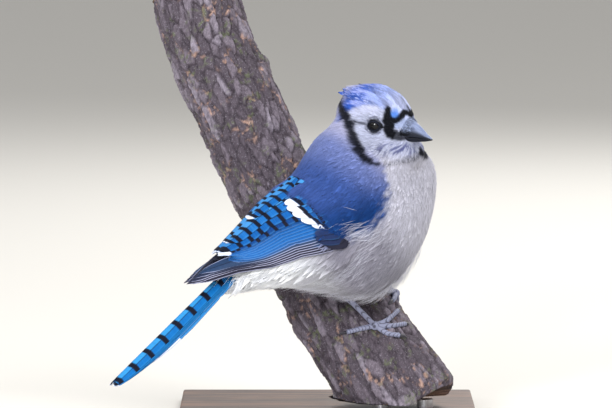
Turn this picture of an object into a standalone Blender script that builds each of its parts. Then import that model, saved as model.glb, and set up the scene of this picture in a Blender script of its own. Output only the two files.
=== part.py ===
"""A blue jay at life size, perched on a cut length of branch that a small display stand holds up.

Every length below is in millimetres and every angle in degrees, and the meshes are made in metres, +Z up.
The bird's own axes are x towards the breast, y towards its left side and z towards its back.
"""

import math

import bmesh
import bpy
from mathutils import Matrix, Vector, noise
from mathutils.bvhtree import BVHTree

MM = 0.001
GAP = 0.3

# The pose: where the middle of the body and the eyes' midpoint are, and how body and head are turned
BODY_AT = (16.1, -38.5, 105.8)
BODY_YAW = 22
BODY_PITCH = 42
HEAD_IN_BODY = (61.8, -5.1, 25.5)
HEAD_YAW = -42
HEAD_PITCH = -4

# Outlines along each axis: place, top, bottom, half width and, on the torso, how far it leans to the left
TORSO_OUTLINE = (
    (-52, 33, 8, 13, 0),
    (-45, 34, 3.5, 16.5, 0),
    (-38, 35, -3, 20, 0),
    (-30, 36, -14, 24, 0),
    (-20, 37, -29, 27.5, 0),
    (-10, 38.5, -39.5, 30, 0),
    (0, 40.5, -42.5, 31.5, 0),
    (10, 43, -44, 32.5, 0),
    (20, 45.5, -42.5, 33, 0.4),
    (30, 47, -40.8, 32, 1.4),
    (40, 45.5, -37.8, 29.4, 3.2),
    (49, 36.5, -33, 25, 4.8),
    (57, 25.5, -27.5, 20.3, 4.8),
    (64, 14.5, -20.5, 15.4, 3.6),
    (69.5, 5, -12, 9, 2.2),
)
HEAD_OUTLINE = (
    (-33, 9.5, 0, 7),
    (-29, 14, -7, 11.5),
    (-21, 19.6, -16, 15.2),
    (-12, 21.6, -20, 16.2),
    (-4, 21.2, -21, 14.8),
    (4, 19.3, -20, 12),
    (9, 16.8, -16, 8.8),
    (13, 13.6, -12.5, 6.6),
    (16, 10.4, -9.3, 5.3),
    (18, 7.4, -7.5, 4),
)
# Fillings between them: middle in the body's or the head's axes, and half sizes
NECK_BALL = ((45.5, 8, 23), (16.5, 18.5, 22.5))
THROAT_BALL = ((10.8, 3, -14), (12, 12, 10))
# Planes that part head, neck and torso: a place and the way up
HEAD_PLANE = ((0, 0, -15.5), (0.25, 0, 0.968))
NECK_PLANE = ((28, 0, 41.5), (0.90, -0.16, 0.42))
BODY_VOXEL = 1.9
BODY_TRIANGLES = 2100
SMOOTHING = 6

# Eyes, seen from the midpoint between them; they look a little forwards
EYE_CENTRE = (-1, 8.3, 0)
EYE_FORWARD = 20
EYE_RADIUS = 5
LID_OPENING = (5.3, 4)
LID_THICK = 0.6
LID_LIFT = 0.1
LID_STEPS = 14
LID_SIDES = 6
SOCKET_OUT = 7.2
SOCKET_SIZE = (5.6, 3.9, 4.8)

# Bill along the head's axis: place, culmen, mouth line, keel and half width
BILL_OUTLINE = (
    (7, 7.0, -4.6, -8.2, 5.4),
    (12, 6.3, -4.6, -7.9, 4.6),
    (17, 5.3, -4.5, -7.5, 3.9),
    (21, 3.4, -4.4, -7.0, 3.1),
    (25, 1.0, -4.3, -6.4, 2.3),
    (28.5, -1.6, -4.3, -5.8, 1.6),
    (31, -3.1, -4.3, -5.2, 1.0),
    (32.4, -4.0, -4.4, -4.8, 0.5),
)
BILL_ARC = 10
BILL_FULLNESS = 0.9
NOSTRIL_AT = (20.2, 3.3, 0.6)
NOSTRIL_SIZE = (1.3, 0.9, 0.6)

# Crest: each row's root, length and count of feathers, all in the head's axes
CREST_ROWS = ((1, 15, 3), (-8, 15, 4), (-16, 15, 5))
CREST_WIDTH = 7.5
CREST_SPREAD = 62
CREST_VANE = 0.6
# How far a crest feather's root is buried, where the skull ends under it, and how its sides narrow
CREST_BURIED = 3
CREST_SINK = 1.2
SKULL_END = -27
CREST_SHAPE = (0.55, 1, 0.9, 0.2)
# How far the shaft stands up in the middle of a feather
CREST_SHAFT = 0.25
SHAFT_RISE = 0.2

# The folded wing lies on this shell: place, half width, top, bottom and the arc's start angle
WING_SHELL = (
    (-86, 2.5, 41.5, 35.5, 0),
    (-79, 3.5, 41, 34, 0),
    (-69, 7, 41, 28, 0),
    (-57, 12, 41, 19, 0),
    (-43, 19, 41.5, 1, 0),
    (-28, 25.5, 42, -17, 5),
    (-19, 29, 42.5, -31, 6),
    (-8, 32, 41.5, -39, 2),
    (5, 34, 42, -42, 2),
    (20, 34.5, 43.5, -42, 2),
    (40, 32, 46, -38, 2),
)
VANE = 0.5
LAYER = 0.85
# Spacing of the long feathers round the shell, by place
WING_SPACING = ((-86, 0.8), (-79, 1.3), (-69, 2.0), (-57, 2.0), (-45, 2.6), (-28, 3.5), (0, 4.9), (20, 5.2))
PRIMARY_TIPS = (-78, -80, -77, -73, -68)
SECONDARY_TIPS = (-61, -58, -57, -55)
TERTIAL_TIPS = (-54, -44, -31)
LONG_LIFT = 1.1
LONG_ROOT = (2, 4)
LONG_WIDTH = (9.5, 11)
FIRST_ARC = 2.5
# Most that one long feather is tilted over the next, in layers, and the spacing of its rows
MOST_TILT = 2.2
ROW_STEP = 20
# Coverts over the long feathers: count, first arc, step, root, tip, how far the lower tips stop short
COVERTS = 8
COVERT_ARC = (17, 5.0)
COVERT_ROOT = 10
COVERT_TIP = -6.5
COVERT_STAGGER = 9
COVERT_SIZE = (8, 3.4)
COVERT_SHAPE = ((0, 0.6), (0.45, 1), (0.85, 0.85), (1, 0.3))
COVERT_TILT = 0.16
COVERT_VANE = 0.6
# Feathers of the thumb below the coverts
THUMBS = 4
THUMB_ARC = (4, 3.6)
THUMB_ROOT = 9
THUMB_TIP = (-13, 2)
THUMB_SIZE = (7, 3.1)
# The folded arm under the coverts: its front and back, how far its front is rounded, its arc, rim and crown
CORE_FRONT = 27
CORE_BACK = -11
CORE_ROUND = 14
CORE_ARC = (3, 53)
CORE_DEPTH = (-2.4, 4.9)
CORE_INSIDE = -4.0
CORE_ROWS = 6
CORE_COLUMNS = 10

# Tail
TAIL_ROOT = -41
TAIL_HEIGHT = 31
TAIL_SINK = 0.006
TAIL_TIPS = (-148, -147.5, -145, -141.5, -137, -131)
TAIL_STEP = 0.45
TAIL_WIDTH = 15.5
# The closed tail is roofed: how far it falls for each millimetre to the side, and how far its coverts do
TAIL_ROOF = 0.55
TAIL_COVERT_ROOF = 0.1
TAIL_SHAFT = 0.15
TAIL_COVERT_SHAFT = 0.3
TAIL_MIDDLE = (5.3, 5.6)
TAIL_SHAPE = ((0, 0.35), (0.25, 0.8), (0.6, 1), (0.88, 0.95), (0.97, 0.7), (1, 0.25))
# Tail coverts above and below: spacing, root, longest tip, how much shorter the outer ones are, width
UPPER_COVERTS = (4.2, -44, -66, 2.5, 8)
UNDER_COVERTS = (4.0, -50, -76, 3, 9)
UPPER_HEIGHTS = (2.0, 0.9)
UNDER_HEIGHTS = (-23, -7)
TAIL_COVERTS = 5
TAIL_COVERT_SHAPE = ((0, 0.5), (0.4, 1), (0.8, 0.8), (1, 0.25))
TAIL_COVERT_VANE = 0.7
# The flesh and down that the tail feathers grow from: place, top and bottom from the tail's height, half width
TAIL_CORE = ((-44, 1.5, -24, 9), (-56, 1, -19, 9.5), (-65, -0.5, -12, 7.5), (-71, -2, -7, 4.5))

# Perch: height above the floor, place along X and radius; it leans back by PERCH_LEAN for each millimetre up
PERCH_LINE = (
    (6, 56.5, 30.5),
    (20, 46.5, 30),
    (36, 35.5, 29),
    (54, 24, 28),
    (71, 12.5, 26),
    (95, -1, 25.3),
    (120, -14, 25.3),
    (148, -28, 25.5),
    (170, -38.2, 25.3),
    (190, -47.5, 25),
    (210, -56, 25),
    (242, -66.5, 25),
)
PERCH_LEAN = 0.35
PERCH_DEPTH_AT = (51, 6)
PERCH_FOOT = 12
PERCH_TOP = 236
PERCH_SIDES = 22
PERCH_RINGS = 26
# Heights between which the perch is formed before its ends are cut square, and how far its axis is averaged
PERCH_SPAN = (-20, 262)
PERCH_AVERAGE = 8
# Bark: height of the plates and of the waves under them, and their lengths along the branch
BARK_PLATES = (1.1, 26)
BARK_WAVES = (1.6, 45)

# Feet: the middle of each foot and its toes, as seen from the side that the foot grips
TOE_RADIUS = 1.5
TOE_CLEAR = 0.9
TOE_RADII = (1.5, 1.575, 1.35, 1.5)
HUB_RADIUS = 2.6
HUB_LIFT = 2.4
CLAW_LENGTH = 6.5
CLAW_RADII = (1.15, 0.95, 0.6, 0.12)
CLAW_BEND = 0.5
RIGHT_HUB = (38, 53.5)
RIGHT_TOES = (
    ((30.5, 52.0), (23.0, 50.2)),
    ((44.0, 55.5), (49.5, 59.5)),
    ((45.0, 52.6), (53.5, 52.6)),
    ((44.0, 49.0), (50.5, 47.5)),
)
LEFT_HUB = (7, 68)
LEFT_TOES = (
    ((1.0, 66.5), (-4.0, 65.0)),
    ((12.5, 71.5), (17.5, 74.5)),
    ((14.0, 68.0), (21.0, 68.0)),
    ((12.5, 64.0), (17.5, 61.0)),
)
# Legs: share of the way from heel to foot, and radius
TARSUS = ((0, 2.2), (0.2, 1.75), (0.45, 1.45), (0.85, 1.45), (1, 1.7))
RIGHT_HEEL = (21.5, -43.5, 73.5)
LEFT_HEEL = (34, -22, 78)

# Stand
BASE_SIZE = (165, 124, 6)
BASE_AT = (12, 16)
BASE_EDGE = 1.2
ROD_RADIUS = 4.5
ROD_AT = ((42, -8), (66, -8))


def empty_scene():
    for obj in list(bpy.data.objects):
        bpy.data.objects.remove(obj, do_unlink=True)


def frame_of(place, yaw, pitch):
    turn = Matrix.Rotation(math.radians(yaw), 4, "Z") @ Matrix.Rotation(math.radians(-pitch), 4, "Y")
    return Matrix.Translation(Vector(place)) @ turn


BODY = frame_of(BODY_AT, BODY_YAW, BODY_PITCH)
HEAD = frame_of(BODY @ Vector(HEAD_IN_BODY), HEAD_YAW, HEAD_PITCH)


def between(table, place, column):
    """Reads a column of an outline at any place, straight between its rows."""
    rows = sorted(table)
    if place <= rows[0][0]:
        return rows[0][column]
    for low, high in zip(rows, rows[1:]):
        if place <= high[0]:
            share = (place - low[0]) / (high[0] - low[0])
            return low[column] + share * (high[column] - low[column])
    return rows[-1][column]


def new_mesh(name, points, faces):
    mesh = bpy.data.meshes.new(name)
    mesh.from_pydata([Vector(point) * MM for point in points], [], faces)
    obj = bpy.data.objects.new(name, mesh)
    bpy.context.scene.collection.objects.link(obj)
    return obj


def loft(name, rings):
    """Joins rings of points, each a closed loop of the same count, and closes both ends."""
    count = len(rings[0])
    points = [point for ring in rings for point in ring]
    faces = []
    for row in range(len(rings) - 1):
        for column in range(count):
            a = row * count + column
            b = row * count + (column + 1) % count
            faces.append((a, b, b + count, a + count))
    faces.append(tuple(reversed(range(count))))
    faces.append(tuple(range(len(points) - count, len(points))))
    obj = new_mesh(name, points, faces)
    face_out(obj)
    return obj


def face_out(obj):
    shape = bmesh.new()
    shape.from_mesh(obj.data)
    bmesh.ops.recalc_face_normals(shape, faces=shape.faces)
    if shape.calc_volume(signed=True) < 0:
        bmesh.ops.reverse_faces(shape, faces=shape.faces)
    shape.to_mesh(obj.data)
    shape.free()


def oval(frame, place, top, bottom, half_width, lean=0, sides=24, power=2.15):
    """A ring across an axis, a little fuller than an ellipse."""
    ring = []
    middle = (top + bottom) / 2
    half_height = (top - bottom) / 2
    for step in range(sides):
        angle = 2 * math.pi * step / sides
        across = math.copysign(abs(math.cos(angle)) ** (2 / power), math.cos(angle))
        up = math.copysign(abs(math.sin(angle)) ** (2 / power), math.sin(angle))
        ring.append(frame @ Vector((place, lean + half_width * across, middle + half_height * up)))
    return ring


def tube(name, path, radii, sides=8):
    """A round tube through the points of a path, with a radius at each."""
    rings = []
    side = None
    for index, point in enumerate(path):
        before = path[max(index - 1, 0)]
        after = path[min(index + 1, len(path) - 1)]
        along = (after - before).normalized()
        if side is None:
            side = along.orthogonal().normalized()
        side = (side - along * side.dot(along)).normalized()
        other = along.cross(side)
        ring = []
        for step in range(sides):
            angle = 2 * math.pi * step / sides
            ring.append(point + (side * math.cos(angle) + other * math.sin(angle)) * radii[index])
        rings.append(ring)
    return loft(name, rings)


def ball(name, centre, radii, turn=None, sides=16, rings=10):
    """A sphere or ellipsoid, turned by a matrix."""
    shape = bmesh.new()
    bmesh.ops.create_uvsphere(shape, u_segments=sides, v_segments=rings, radius=1)
    mesh = bpy.data.meshes.new(name)
    shape.to_mesh(mesh)
    shape.free()
    scale = Matrix.Diagonal(Vector(radii) * MM).to_4x4()
    mesh.transform(Matrix.Translation(Vector(centre) * MM) @ (turn or Matrix()).to_3x3().to_4x4() @ scale)
    obj = bpy.data.objects.new(name, mesh)
    bpy.context.scene.collection.objects.link(obj)
    return obj


def vane(name, rows, thickness=VANE):
    """A thin feather blade: each row holds points across it, the normal and its share of the thickness."""
    across = len(rows[0][0])
    upper = []
    lower = []
    for points, normal, share in rows:
        for point in points:
            upper.append(point + normal * thickness * share / 2)
            lower.append(point - normal * thickness * share / 2)
    total = len(upper)
    faces = []
    for row in range(len(rows) - 1):
        for column in range(across - 1):
            a = row * across + column
            b, c, d = a + 1, a + across + 1, a + across
            faces += [(a, b, c), (a, c, d)]
            faces += [(a + total, c + total, b + total), (a + total, d + total, c + total)]
    rim = list(range(across))
    rim += [row * across + across - 1 for row in range(1, len(rows))]
    rim += [(len(rows) - 1) * across + column for column in range(across - 2, -1, -1)]
    rim += [row * across for row in range(len(rows) - 2, 0, -1)]
    for a, b in zip(rim, rim[1:] + rim[:1]):
        faces += [(b, a, a + total), (b, a + total, b + total)]
    obj = new_mesh(name, upper + lower, faces)
    face_out(obj)
    return obj


def apply_modifiers(obj):
    graph = bpy.context.evaluated_depsgraph_get()
    mesh = bpy.data.meshes.new_from_object(obj.evaluated_get(graph), depsgraph=graph)
    obj.modifiers.clear()
    obj.data = mesh


def remove(objects):
    for obj in objects:
        bpy.data.objects.remove(obj, do_unlink=True)


def combine(obj, operation, others):
    """One Boolean of an object with a collection of others, which are used up."""
    group = bpy.data.collections.new("pieces")
    bpy.context.scene.collection.children.link(group)
    for other in others:
        group.objects.link(other)
    boolean = obj.modifiers.new("combine", "BOOLEAN")
    boolean.operation = operation
    boolean.operand_type = "COLLECTION"
    boolean.collection = group
    boolean.solver = "EXACT"
    boolean.use_self = operation == "UNION"
    apply_modifiers(obj)
    remove(others)
    bpy.data.collections.remove(group)


def keep_largest(obj):
    """Drops every closed surface but the largest."""
    shape = bmesh.new()
    shape.from_mesh(obj.data)
    left = set(shape.faces)
    largest = []
    while left:
        start = left.pop()
        island = [start]
        stack = [start]
        while stack:
            for edge in stack.pop().edges:
                for face in edge.link_faces:
                    if face in left:
                        left.remove(face)
                        island.append(face)
                        stack.append(face)
        if sum(f.calc_area() for f in island) > sum(f.calc_area() for f in largest):
            largest = island
    keep = set(largest)
    bmesh.ops.delete(shape, geom=[f for f in shape.faces if f not in keep], context="FACES")
    bmesh.ops.triangulate(shape, faces=shape.faces)
    shape.to_mesh(obj.data)
    shape.free()


def grown(obj, by=GAP):
    """A copy of a piece that is larger all round, to cut its neighbours clear of it."""
    copy = obj.copy()
    copy.data = obj.data.copy()
    bpy.context.scene.collection.objects.link(copy)
    swell = copy.modifiers.new("swell", "DISPLACE")
    swell.strength = by * MM
    swell.mid_level = 0
    apply_modifiers(copy)
    return copy


def copy_of(obj, name):
    copy = obj.copy()
    copy.data = obj.data.copy()
    copy.name = name
    bpy.context.scene.collection.objects.link(copy)
    return copy


def cut_clear(obj, neighbours, by=GAP):
    combine(obj, "DIFFERENCE", [grown(neighbour, by) for neighbour in neighbours])
    keep_largest(obj)


def slab(name, frame, place, normal, side, size=200.0):
    """A large block whose near face stands at a plane, on one side of it."""
    normal = Vector(normal).normalized()
    centre = Vector(place) + normal * side * size / 2
    shape = bmesh.new()
    bmesh.ops.create_cube(shape, size=size * MM)
    mesh = bpy.data.meshes.new(name)
    shape.to_mesh(mesh)
    shape.free()
    turn = normal.to_track_quat("Z", "Y").to_matrix().to_4x4()
    local = Matrix.Translation(centre * MM) @ turn
    mesh.transform(Matrix.Translation(frame.to_translation() * MM) @ frame.to_3x3().to_4x4() @ local)
    obj = bpy.data.objects.new(name, mesh)
    bpy.context.scene.collection.objects.link(obj)
    return obj


def tree_of(obj):
    graph = bpy.context.evaluated_depsgraph_get()
    return BVHTree.FromObject(obj, graph)


def struck(tree, start, direction):
    """Where a ray meets a surface, and the surface's normal there, in millimetres."""
    place, normal, _, _ = tree.ray_cast(Vector(start) * MM, Vector(direction).normalized())
    if place is None:
        return None, None
    return place / MM, normal


# The body: one smooth form, then parted into torso, neck and head


def body_form():
    torso = loft("torso", [oval(BODY, *row) for row in TORSO_OUTLINE])
    head = loft("head_form", [oval(HEAD, *row) for row in HEAD_OUTLINE])
    nape = ball("nape", BODY @ Vector(NECK_BALL[0]), NECK_BALL[1], BODY)
    throat = ball("throat", HEAD @ Vector(THROAT_BALL[0]), THROAT_BALL[1], HEAD)
    combine(torso, "UNION", [head, nape, throat])
    remesh = torso.modifiers.new("remesh", "REMESH")
    remesh.mode = "VOXEL"
    remesh.voxel_size = BODY_VOXEL * MM
    smooth = torso.modifiers.new("smooth", "SMOOTH")
    smooth.factor = 0.5
    smooth.iterations = SMOOTHING
    apply_modifiers(torso)
    thin = torso.modifiers.new("thin", "DECIMATE")
    thin.ratio = BODY_TRIANGLES / sum(len(face.vertices) - 2 for face in torso.data.polygons)
    apply_modifiers(torso)
    return torso


def part_body(whole):
    """Parts the form by thin plane cuts at the neck and below the head."""
    head = copy_of(whole, "head")
    neck = copy_of(whole, "neck")
    head_up = Vector(HEAD_PLANE[1]).normalized() * GAP
    neck_up = Vector(NECK_PLANE[1]).normalized() * GAP
    head_place = Vector(HEAD_PLANE[0])
    neck_place = Vector(NECK_PLANE[0])
    under = slab("under", HEAD, head_place, HEAD_PLANE[1], -1)
    combine(head, "DIFFERENCE", [under, slab("under", BODY, neck_place + neck_up, NECK_PLANE[1], -1)])
    above = slab("above", HEAD, head_place - head_up, HEAD_PLANE[1], 1)
    below = slab("below", BODY, neck_place, NECK_PLANE[1], -1)
    combine(neck, "DIFFERENCE", [above, below])
    combine(whole, "DIFFERENCE", [slab("cut", BODY, neck_place - neck_up, NECK_PLANE[1], 1)])
    for obj in (head, neck, whole):
        keep_largest(obj)
    return head, neck


# The head: lids and sockets, eyes, bill and crest


def eye_frame(side):
    """The eye's own axes: x forwards along the lids, y out to where it looks, z up."""
    x, y, z = EYE_CENTRE
    turn = Matrix.Rotation(math.radians(-side * EYE_FORWARD), 4, "Z")
    return HEAD @ Matrix.Translation(Vector((x, side * y, z))) @ turn


def lid_ring(side):
    """The rim of the lids, an oval ring that stands round the eye."""
    frame = eye_frame(side)
    path = []
    for step in range(LID_STEPS):
        angle = 2 * math.pi * step / LID_STEPS
        forward = LID_OPENING[0] * math.cos(angle)
        up = LID_OPENING[1] * math.sin(angle)
        out = math.sqrt(max(EYE_RADIUS**2 - forward**2 - up**2, 0)) + LID_LIFT
        path.append(Vector((forward, side * out, up)))
    points = []
    faces = []
    for index, place in enumerate(path):
        away = Vector((place.x, 0, place.z)).normalized()
        out = Vector((0, side, 0))
        this_row = index * LID_SIDES
        next_row = (index + 1) % LID_STEPS * LID_SIDES
        for step in range(LID_SIDES):
            angle = 2 * math.pi * step / LID_SIDES
            points.append(frame @ (place + (away * math.cos(angle) + out * math.sin(angle)) * LID_THICK))
            beside = (step + 1) % LID_SIDES
            faces.append((this_row + step, this_row + beside, next_row + beside, next_row + step))
    ring = new_mesh("lid", points, faces)
    face_out(ring)
    return ring


def make_eye(side, name):
    frame = eye_frame(side)
    return ball(name, frame.to_translation(), (EYE_RADIUS,) * 3, frame, sides=14, rings=9)


def open_sockets(head):
    """Sinks a shallow dish for each eye, sets the lids round it and cuts the eyeball's room."""
    dishes = []
    for side in (-1, 1):
        frame = eye_frame(side)
        dishes.append(ball("dish", frame @ Vector((0, side * SOCKET_OUT, 0)), SOCKET_SIZE, frame))
    combine(head, "DIFFERENCE", dishes)
    combine(head, "UNION", [lid_ring(side) for side in (-1, 1)])
    room = (EYE_RADIUS + GAP,) * 3
    centres = [eye_frame(side).to_translation() for side in (-1, 1)]
    combine(head, "DIFFERENCE", [ball("room", centre, room, HEAD, 16, 11) for centre in centres])
    keep_largest(head)


def half_bill(name, upper):
    """One mandible: a rounded form between the mouth line and the culmen or the keel."""
    rings = []
    for place, culmen, mouth, keel, half_width in BILL_OUTLINE:
        ring = []
        lip = mouth + GAP / 2 if upper else mouth - GAP / 2
        reach = (culmen if upper else keel) - lip
        for step in range(BILL_ARC + 1):
            angle = math.pi * step / BILL_ARC
            across = half_width * math.cos(angle)
            height = lip + reach * math.sin(angle) ** BILL_FULLNESS
            ring.append(HEAD @ Vector((place, across, height)))
        rings.append(ring)
    return loft(name, rings)


def make_bill(head):
    upper = half_bill("bill_upper", True)
    nostrils = []
    for side in (-1, 1):
        place, across, height = NOSTRIL_AT
        centre = HEAD @ Vector((place, side * across, height))
        nostrils.append(ball("nostril", centre, NOSTRIL_SIZE, HEAD, 10, 8))
    combine(upper, "DIFFERENCE", nostrils)
    lower = half_bill("bill_lower", False)
    for piece in (upper, lower):
        cut_clear(piece, [head])
    return upper, lower


def crest_feather(tree, root, length, bearing, lift):
    """A flat feather that lies back over the crown from its root, bearing being its angle from the top."""
    steps = len(CREST_SHAPE) - 1
    centres = []
    normals = []
    for step in range(steps + 1):
        place = root + CREST_BURIED - (length + CREST_BURIED) * step / steps
        turn = math.radians(bearing) * (1 - 0.25 * step / steps)
        away = HEAD.to_3x3() @ Vector((0, math.sin(turn), math.cos(turn)))
        hit, normal = (None, None)
        if place > SKULL_END:
            hit, normal = struck(tree, HEAD @ Vector((place, 0, 0)), away)
        if hit is None:
            hit = centres[-1] + (centres[-1] - centres[-2])
            normal = normals[-1]
            height = 0
        else:
            height = lift * (0.15 + 1.1 * step / steps) - CREST_SINK * (step == 0)
        centres.append(hit + normal * height)
        normals.append(normal)
    rows = []
    for index, (centre, normal) in enumerate(zip(centres, normals)):
        along = (centres[min(index + 1, steps)] - centres[max(index - 1, 0)]).normalized()
        side = along.cross(normal).normalized() * CREST_WIDTH / 2 * CREST_SHAPE[index]
        points = [centre - side, centre + normal * CREST_SHAFT, centre + side]
        rows.append((points, normal, 1 if index < steps else 0.6))
    return vane("crest", rows, CREST_VANE)


def add_crest(head):
    tree = tree_of(head)
    feathers = []
    for row, (root, length, count) in enumerate(CREST_ROWS):
        lift = 0.4 + 0.2 * row
        for index in range(count):
            share = index / (count - 1) * 2 - 1
            bearing = share * CREST_SPREAD * (0.6 + 0.2 * row)
            feathers.append(crest_feather(tree, root, length - 3 * abs(share), bearing, lift * (1 + index % 2)))
    combine(head, "UNION", feathers)
    keep_largest(head)


# The wings: long feathers in a fan round the folded wing's shell, coverts in tiers over their roots


def wing_point(place, arc, lift, side):
    """A point of the shell: place along the body, arc round it from the lower edge, lift outwards."""
    half_width = between(WING_SHELL, place, 1)
    top = between(WING_SHELL, place, 2)
    bottom = between(WING_SHELL, place, 3)
    start = math.radians(between(WING_SHELL, place, 4))
    middle = (top + bottom) / 2
    half_height = (top - bottom) / 2
    angle = start
    step = math.radians(2)
    left = arc
    while abs(left) > 1e-6:
        direction = 1 if left > 0 else -1
        run = math.hypot(half_width * math.sin(angle), half_height * math.cos(angle))
        stride = min(abs(left), run * step)
        angle += direction * stride / run
        left -= direction * stride
    normal = Vector((0, half_height * math.cos(angle), half_width * math.sin(angle))).normalized()
    point = Vector((place, half_width * math.cos(angle), middle + half_height * math.sin(angle)))
    point += normal * lift
    slope = (between(WING_SHELL, place - 4, 1) - between(WING_SHELL, place + 4, 1)) / 8
    normal = (normal + Vector((slope * normal.y, 0, 0))).normalized()
    flip = Vector((1, side, 1))
    return BODY @ (point * flip), (BODY.to_3x3() @ (normal * flip)).normalized()


def places_along(root, tip):
    """Places of the rows of a feather: the root, even places that all feathers share, and the tip."""
    places = [root]
    place = math.floor((root - 5) / ROW_STEP) * ROW_STEP
    while place > tip + 9:
        places.append(place)
        place -= ROW_STEP
    return places + [tip + 4, tip + 1, tip]


def long_feather(side, index, root, tip, width, lift):
    rows = []
    places = places_along(root, tip)
    for number, place in enumerate(places):
        spacing = between(WING_SPACING, place, 1)
        centre = FIRST_ARC + spacing * index
        full = width * min(1, 0.55 + 0.9 * (root - place) / (root - tip))
        full *= 0.55 + 0.45 * min(1, (place - tip) / 30)
        if number == len(places) - 2:
            full *= 0.62
        if number == len(places) - 1:
            full *= 0.25
        points = []
        for share in (-0.5, 0, 0.5):
            arc = share * full
            tilt = max(-MOST_TILT, min(MOST_TILT, arc / spacing))
            height = lift - LAYER * tilt + (SHAFT_RISE if share == 0 else 0)
            point, normal = wing_point(place, centre + arc, height, side)
            points.append(point)
            if share == 0:
                middle = normal
        rows.append((points, middle, 0.6 if place == tip else 1))
    return vane("feather", rows)


def covert(side, arc, root, tip, width, lift):
    """A short rounded feather over the roots of the long ones."""
    rows = []
    for share, part in COVERT_SHAPE:
        place = root + (tip - root) * share
        points = []
        for across in (-0.5, 0, 0.5):
            shift = across * width * part
            height = lift * (0.55 + 0.45 * math.cos(share * 1.2)) - COVERT_TILT * shift
            height += SHAFT_RISE if across == 0 else 0
            point, normal = wing_point(place, arc + shift, height, side)
            points.append(point)
            if across == 0:
                middle = normal
        rows.append((points, middle, 1))
    return vane("covert", rows, COVERT_VANE)


def wing_core(side):
    """The folded arm of the wing, a low pad that the feathers grow from."""
    rows = CORE_ROWS
    columns = CORE_COLUMNS
    outer = []
    inner = []
    for row in range(rows + 1):
        for column in range(columns + 1):
            along = 2 * row / rows - 1
            across = 2 * column / columns - 1
            front = CORE_FRONT - CORE_ROUND * across**2
            place = front + (CORE_BACK - front) * row / rows
            arc = CORE_ARC[0] + (CORE_ARC[1] - CORE_ARC[0]) * column / columns
            swell = (1 - along**4) * (1 - across**4)
            outer.append(wing_point(place, arc, CORE_DEPTH[0] + CORE_DEPTH[1] * swell, side)[0])
            inner.append(wing_point(place, arc, CORE_INSIDE, side)[0])
    total = len(outer)
    width = columns + 1
    faces = []
    for row in range(rows):
        for column in range(columns):
            a = row * width + column
            b, c, d = a + 1, a + width + 1, a + width
            faces += [(a, b, c), (a, c, d), (a + total, c + total, b + total), (a + total, d + total, c + total)]
    rim = list(range(width))
    rim += [row * width + columns for row in range(1, rows + 1)]
    rim += [rows * width + column for column in range(columns - 1, -1, -1)]
    rim += [row * width for row in range(rows - 1, 0, -1)]
    for a, b in zip(rim, rim[1:] + rim[:1]):
        faces += [(b, a, a + total), (b, a + total, b + total)]
    core = new_mesh("core", outer + inner, faces)
    face_out(core)
    return core


def make_wing(side, name, neighbours):
    core = wing_core(side)
    core.name = name
    pieces = []
    tips = PRIMARY_TIPS + SECONDARY_TIPS + TERTIAL_TIPS
    for index, tip in enumerate(tips):
        tertial = index >= len(PRIMARY_TIPS) + len(SECONDARY_TIPS)
        pieces.append(long_feather(side, index, LONG_ROOT[tertial], tip, LONG_WIDTH[tertial], LONG_LIFT))
    for index in range(COVERTS):
        arc = COVERT_ARC[0] + COVERT_ARC[1] * index
        tip = COVERT_TIP - COVERT_STAGGER * min(1, index / 3) + (index > 5)
        pieces.append(covert(side, arc, COVERT_ROOT, tip, *COVERT_SIZE))
    for index in range(THUMBS):
        arc = THUMB_ARC[0] + THUMB_ARC[1] * index
        tip = THUMB_TIP[0] + THUMB_TIP[1] * index
        pieces.append(covert(side, arc, THUMB_ROOT, tip, *THUMB_SIZE))
    combine(core, "UNION", pieces)
    keep_largest(core)
    middle = slab("middle", BODY, (0, side * 0.2, 0), (0, side, 0), -1)
    combine(core, "DIFFERENCE", [middle] + [grown(other) for other in neighbours])
    keep_largest(core)
    return core


# The tail: six pairs of feathers, the middle pair on top, and coverts above and below their roots


def tail_point(place, across, height, roof=TAIL_ROOF):
    rise = TAIL_SINK * (TAIL_ROOT - place)
    return BODY @ Vector((place, across, TAIL_HEIGHT + rise - roof * abs(across) + height))


def tail_feather(side, pair, tip):
    centre = TAIL_MIDDLE[0] if pair == 0 else TAIL_MIDDLE[1] + TAIL_STEP * pair
    layer = -LAYER * (pair + 1) if pair else -LAYER * (side > 0)
    rows = []
    length = TAIL_ROOT - tip
    up = (BODY.to_3x3() @ Vector((0, 0, 1))).normalized()
    for share, part in TAIL_SHAPE:
        place = TAIL_ROOT - length * share
        spread = 0.45 + 0.55 * min(1, share * 1.6)
        half = TAIL_WIDTH / 2 * part
        middle = side * centre * spread
        near = middle - side * half
        far = middle + side * half
        if pair:
            near = side * max(side * near, GAP)
        shaft = near * 0.45 + far * 0.55 if side * near >= 0 else 0
        points = [
            tail_point(place, near, layer),
            tail_point(place, shaft, layer + TAIL_SHAFT),
            tail_point(place, far, layer),
        ]
        rows.append((points, up, 0.7 if share == 1 else 1))
    return vane("rectrix", rows)


def tail_covert(across, root, tip, width, start, end):
    rows = []
    up = (BODY.to_3x3() @ Vector((0, 0, 1))).normalized()
    for share, part in TAIL_COVERT_SHAPE:
        place = root + (tip - root) * share
        rise = start + (end - start) * share
        half = width / 2 * part
        points = []
        for offset in (-half, 0, half):
            height = rise + (TAIL_COVERT_SHAFT if offset == 0 else 0)
            points.append(tail_point(place, across + offset, height, TAIL_COVERT_ROOF))
        rows.append((points, up, 1))
    return vane("tail_covert", rows, TAIL_COVERT_VANE)


def tail_coverts(row, heights, step):
    """A row of coverts across the tail's root; every other one stands off by a step."""
    spacing, root, tip, shorter, width = row
    middle = TAIL_COVERTS // 2
    pieces = []
    for index in range(TAIL_COVERTS):
        off = index - middle
        high = heights[0] + step[0] * (index % 2)
        end = heights[1] + step[1] * (index % 2)
        pieces.append(tail_covert(off * spacing, root, tip + shorter * abs(off), width, high, end))
    return pieces


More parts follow.
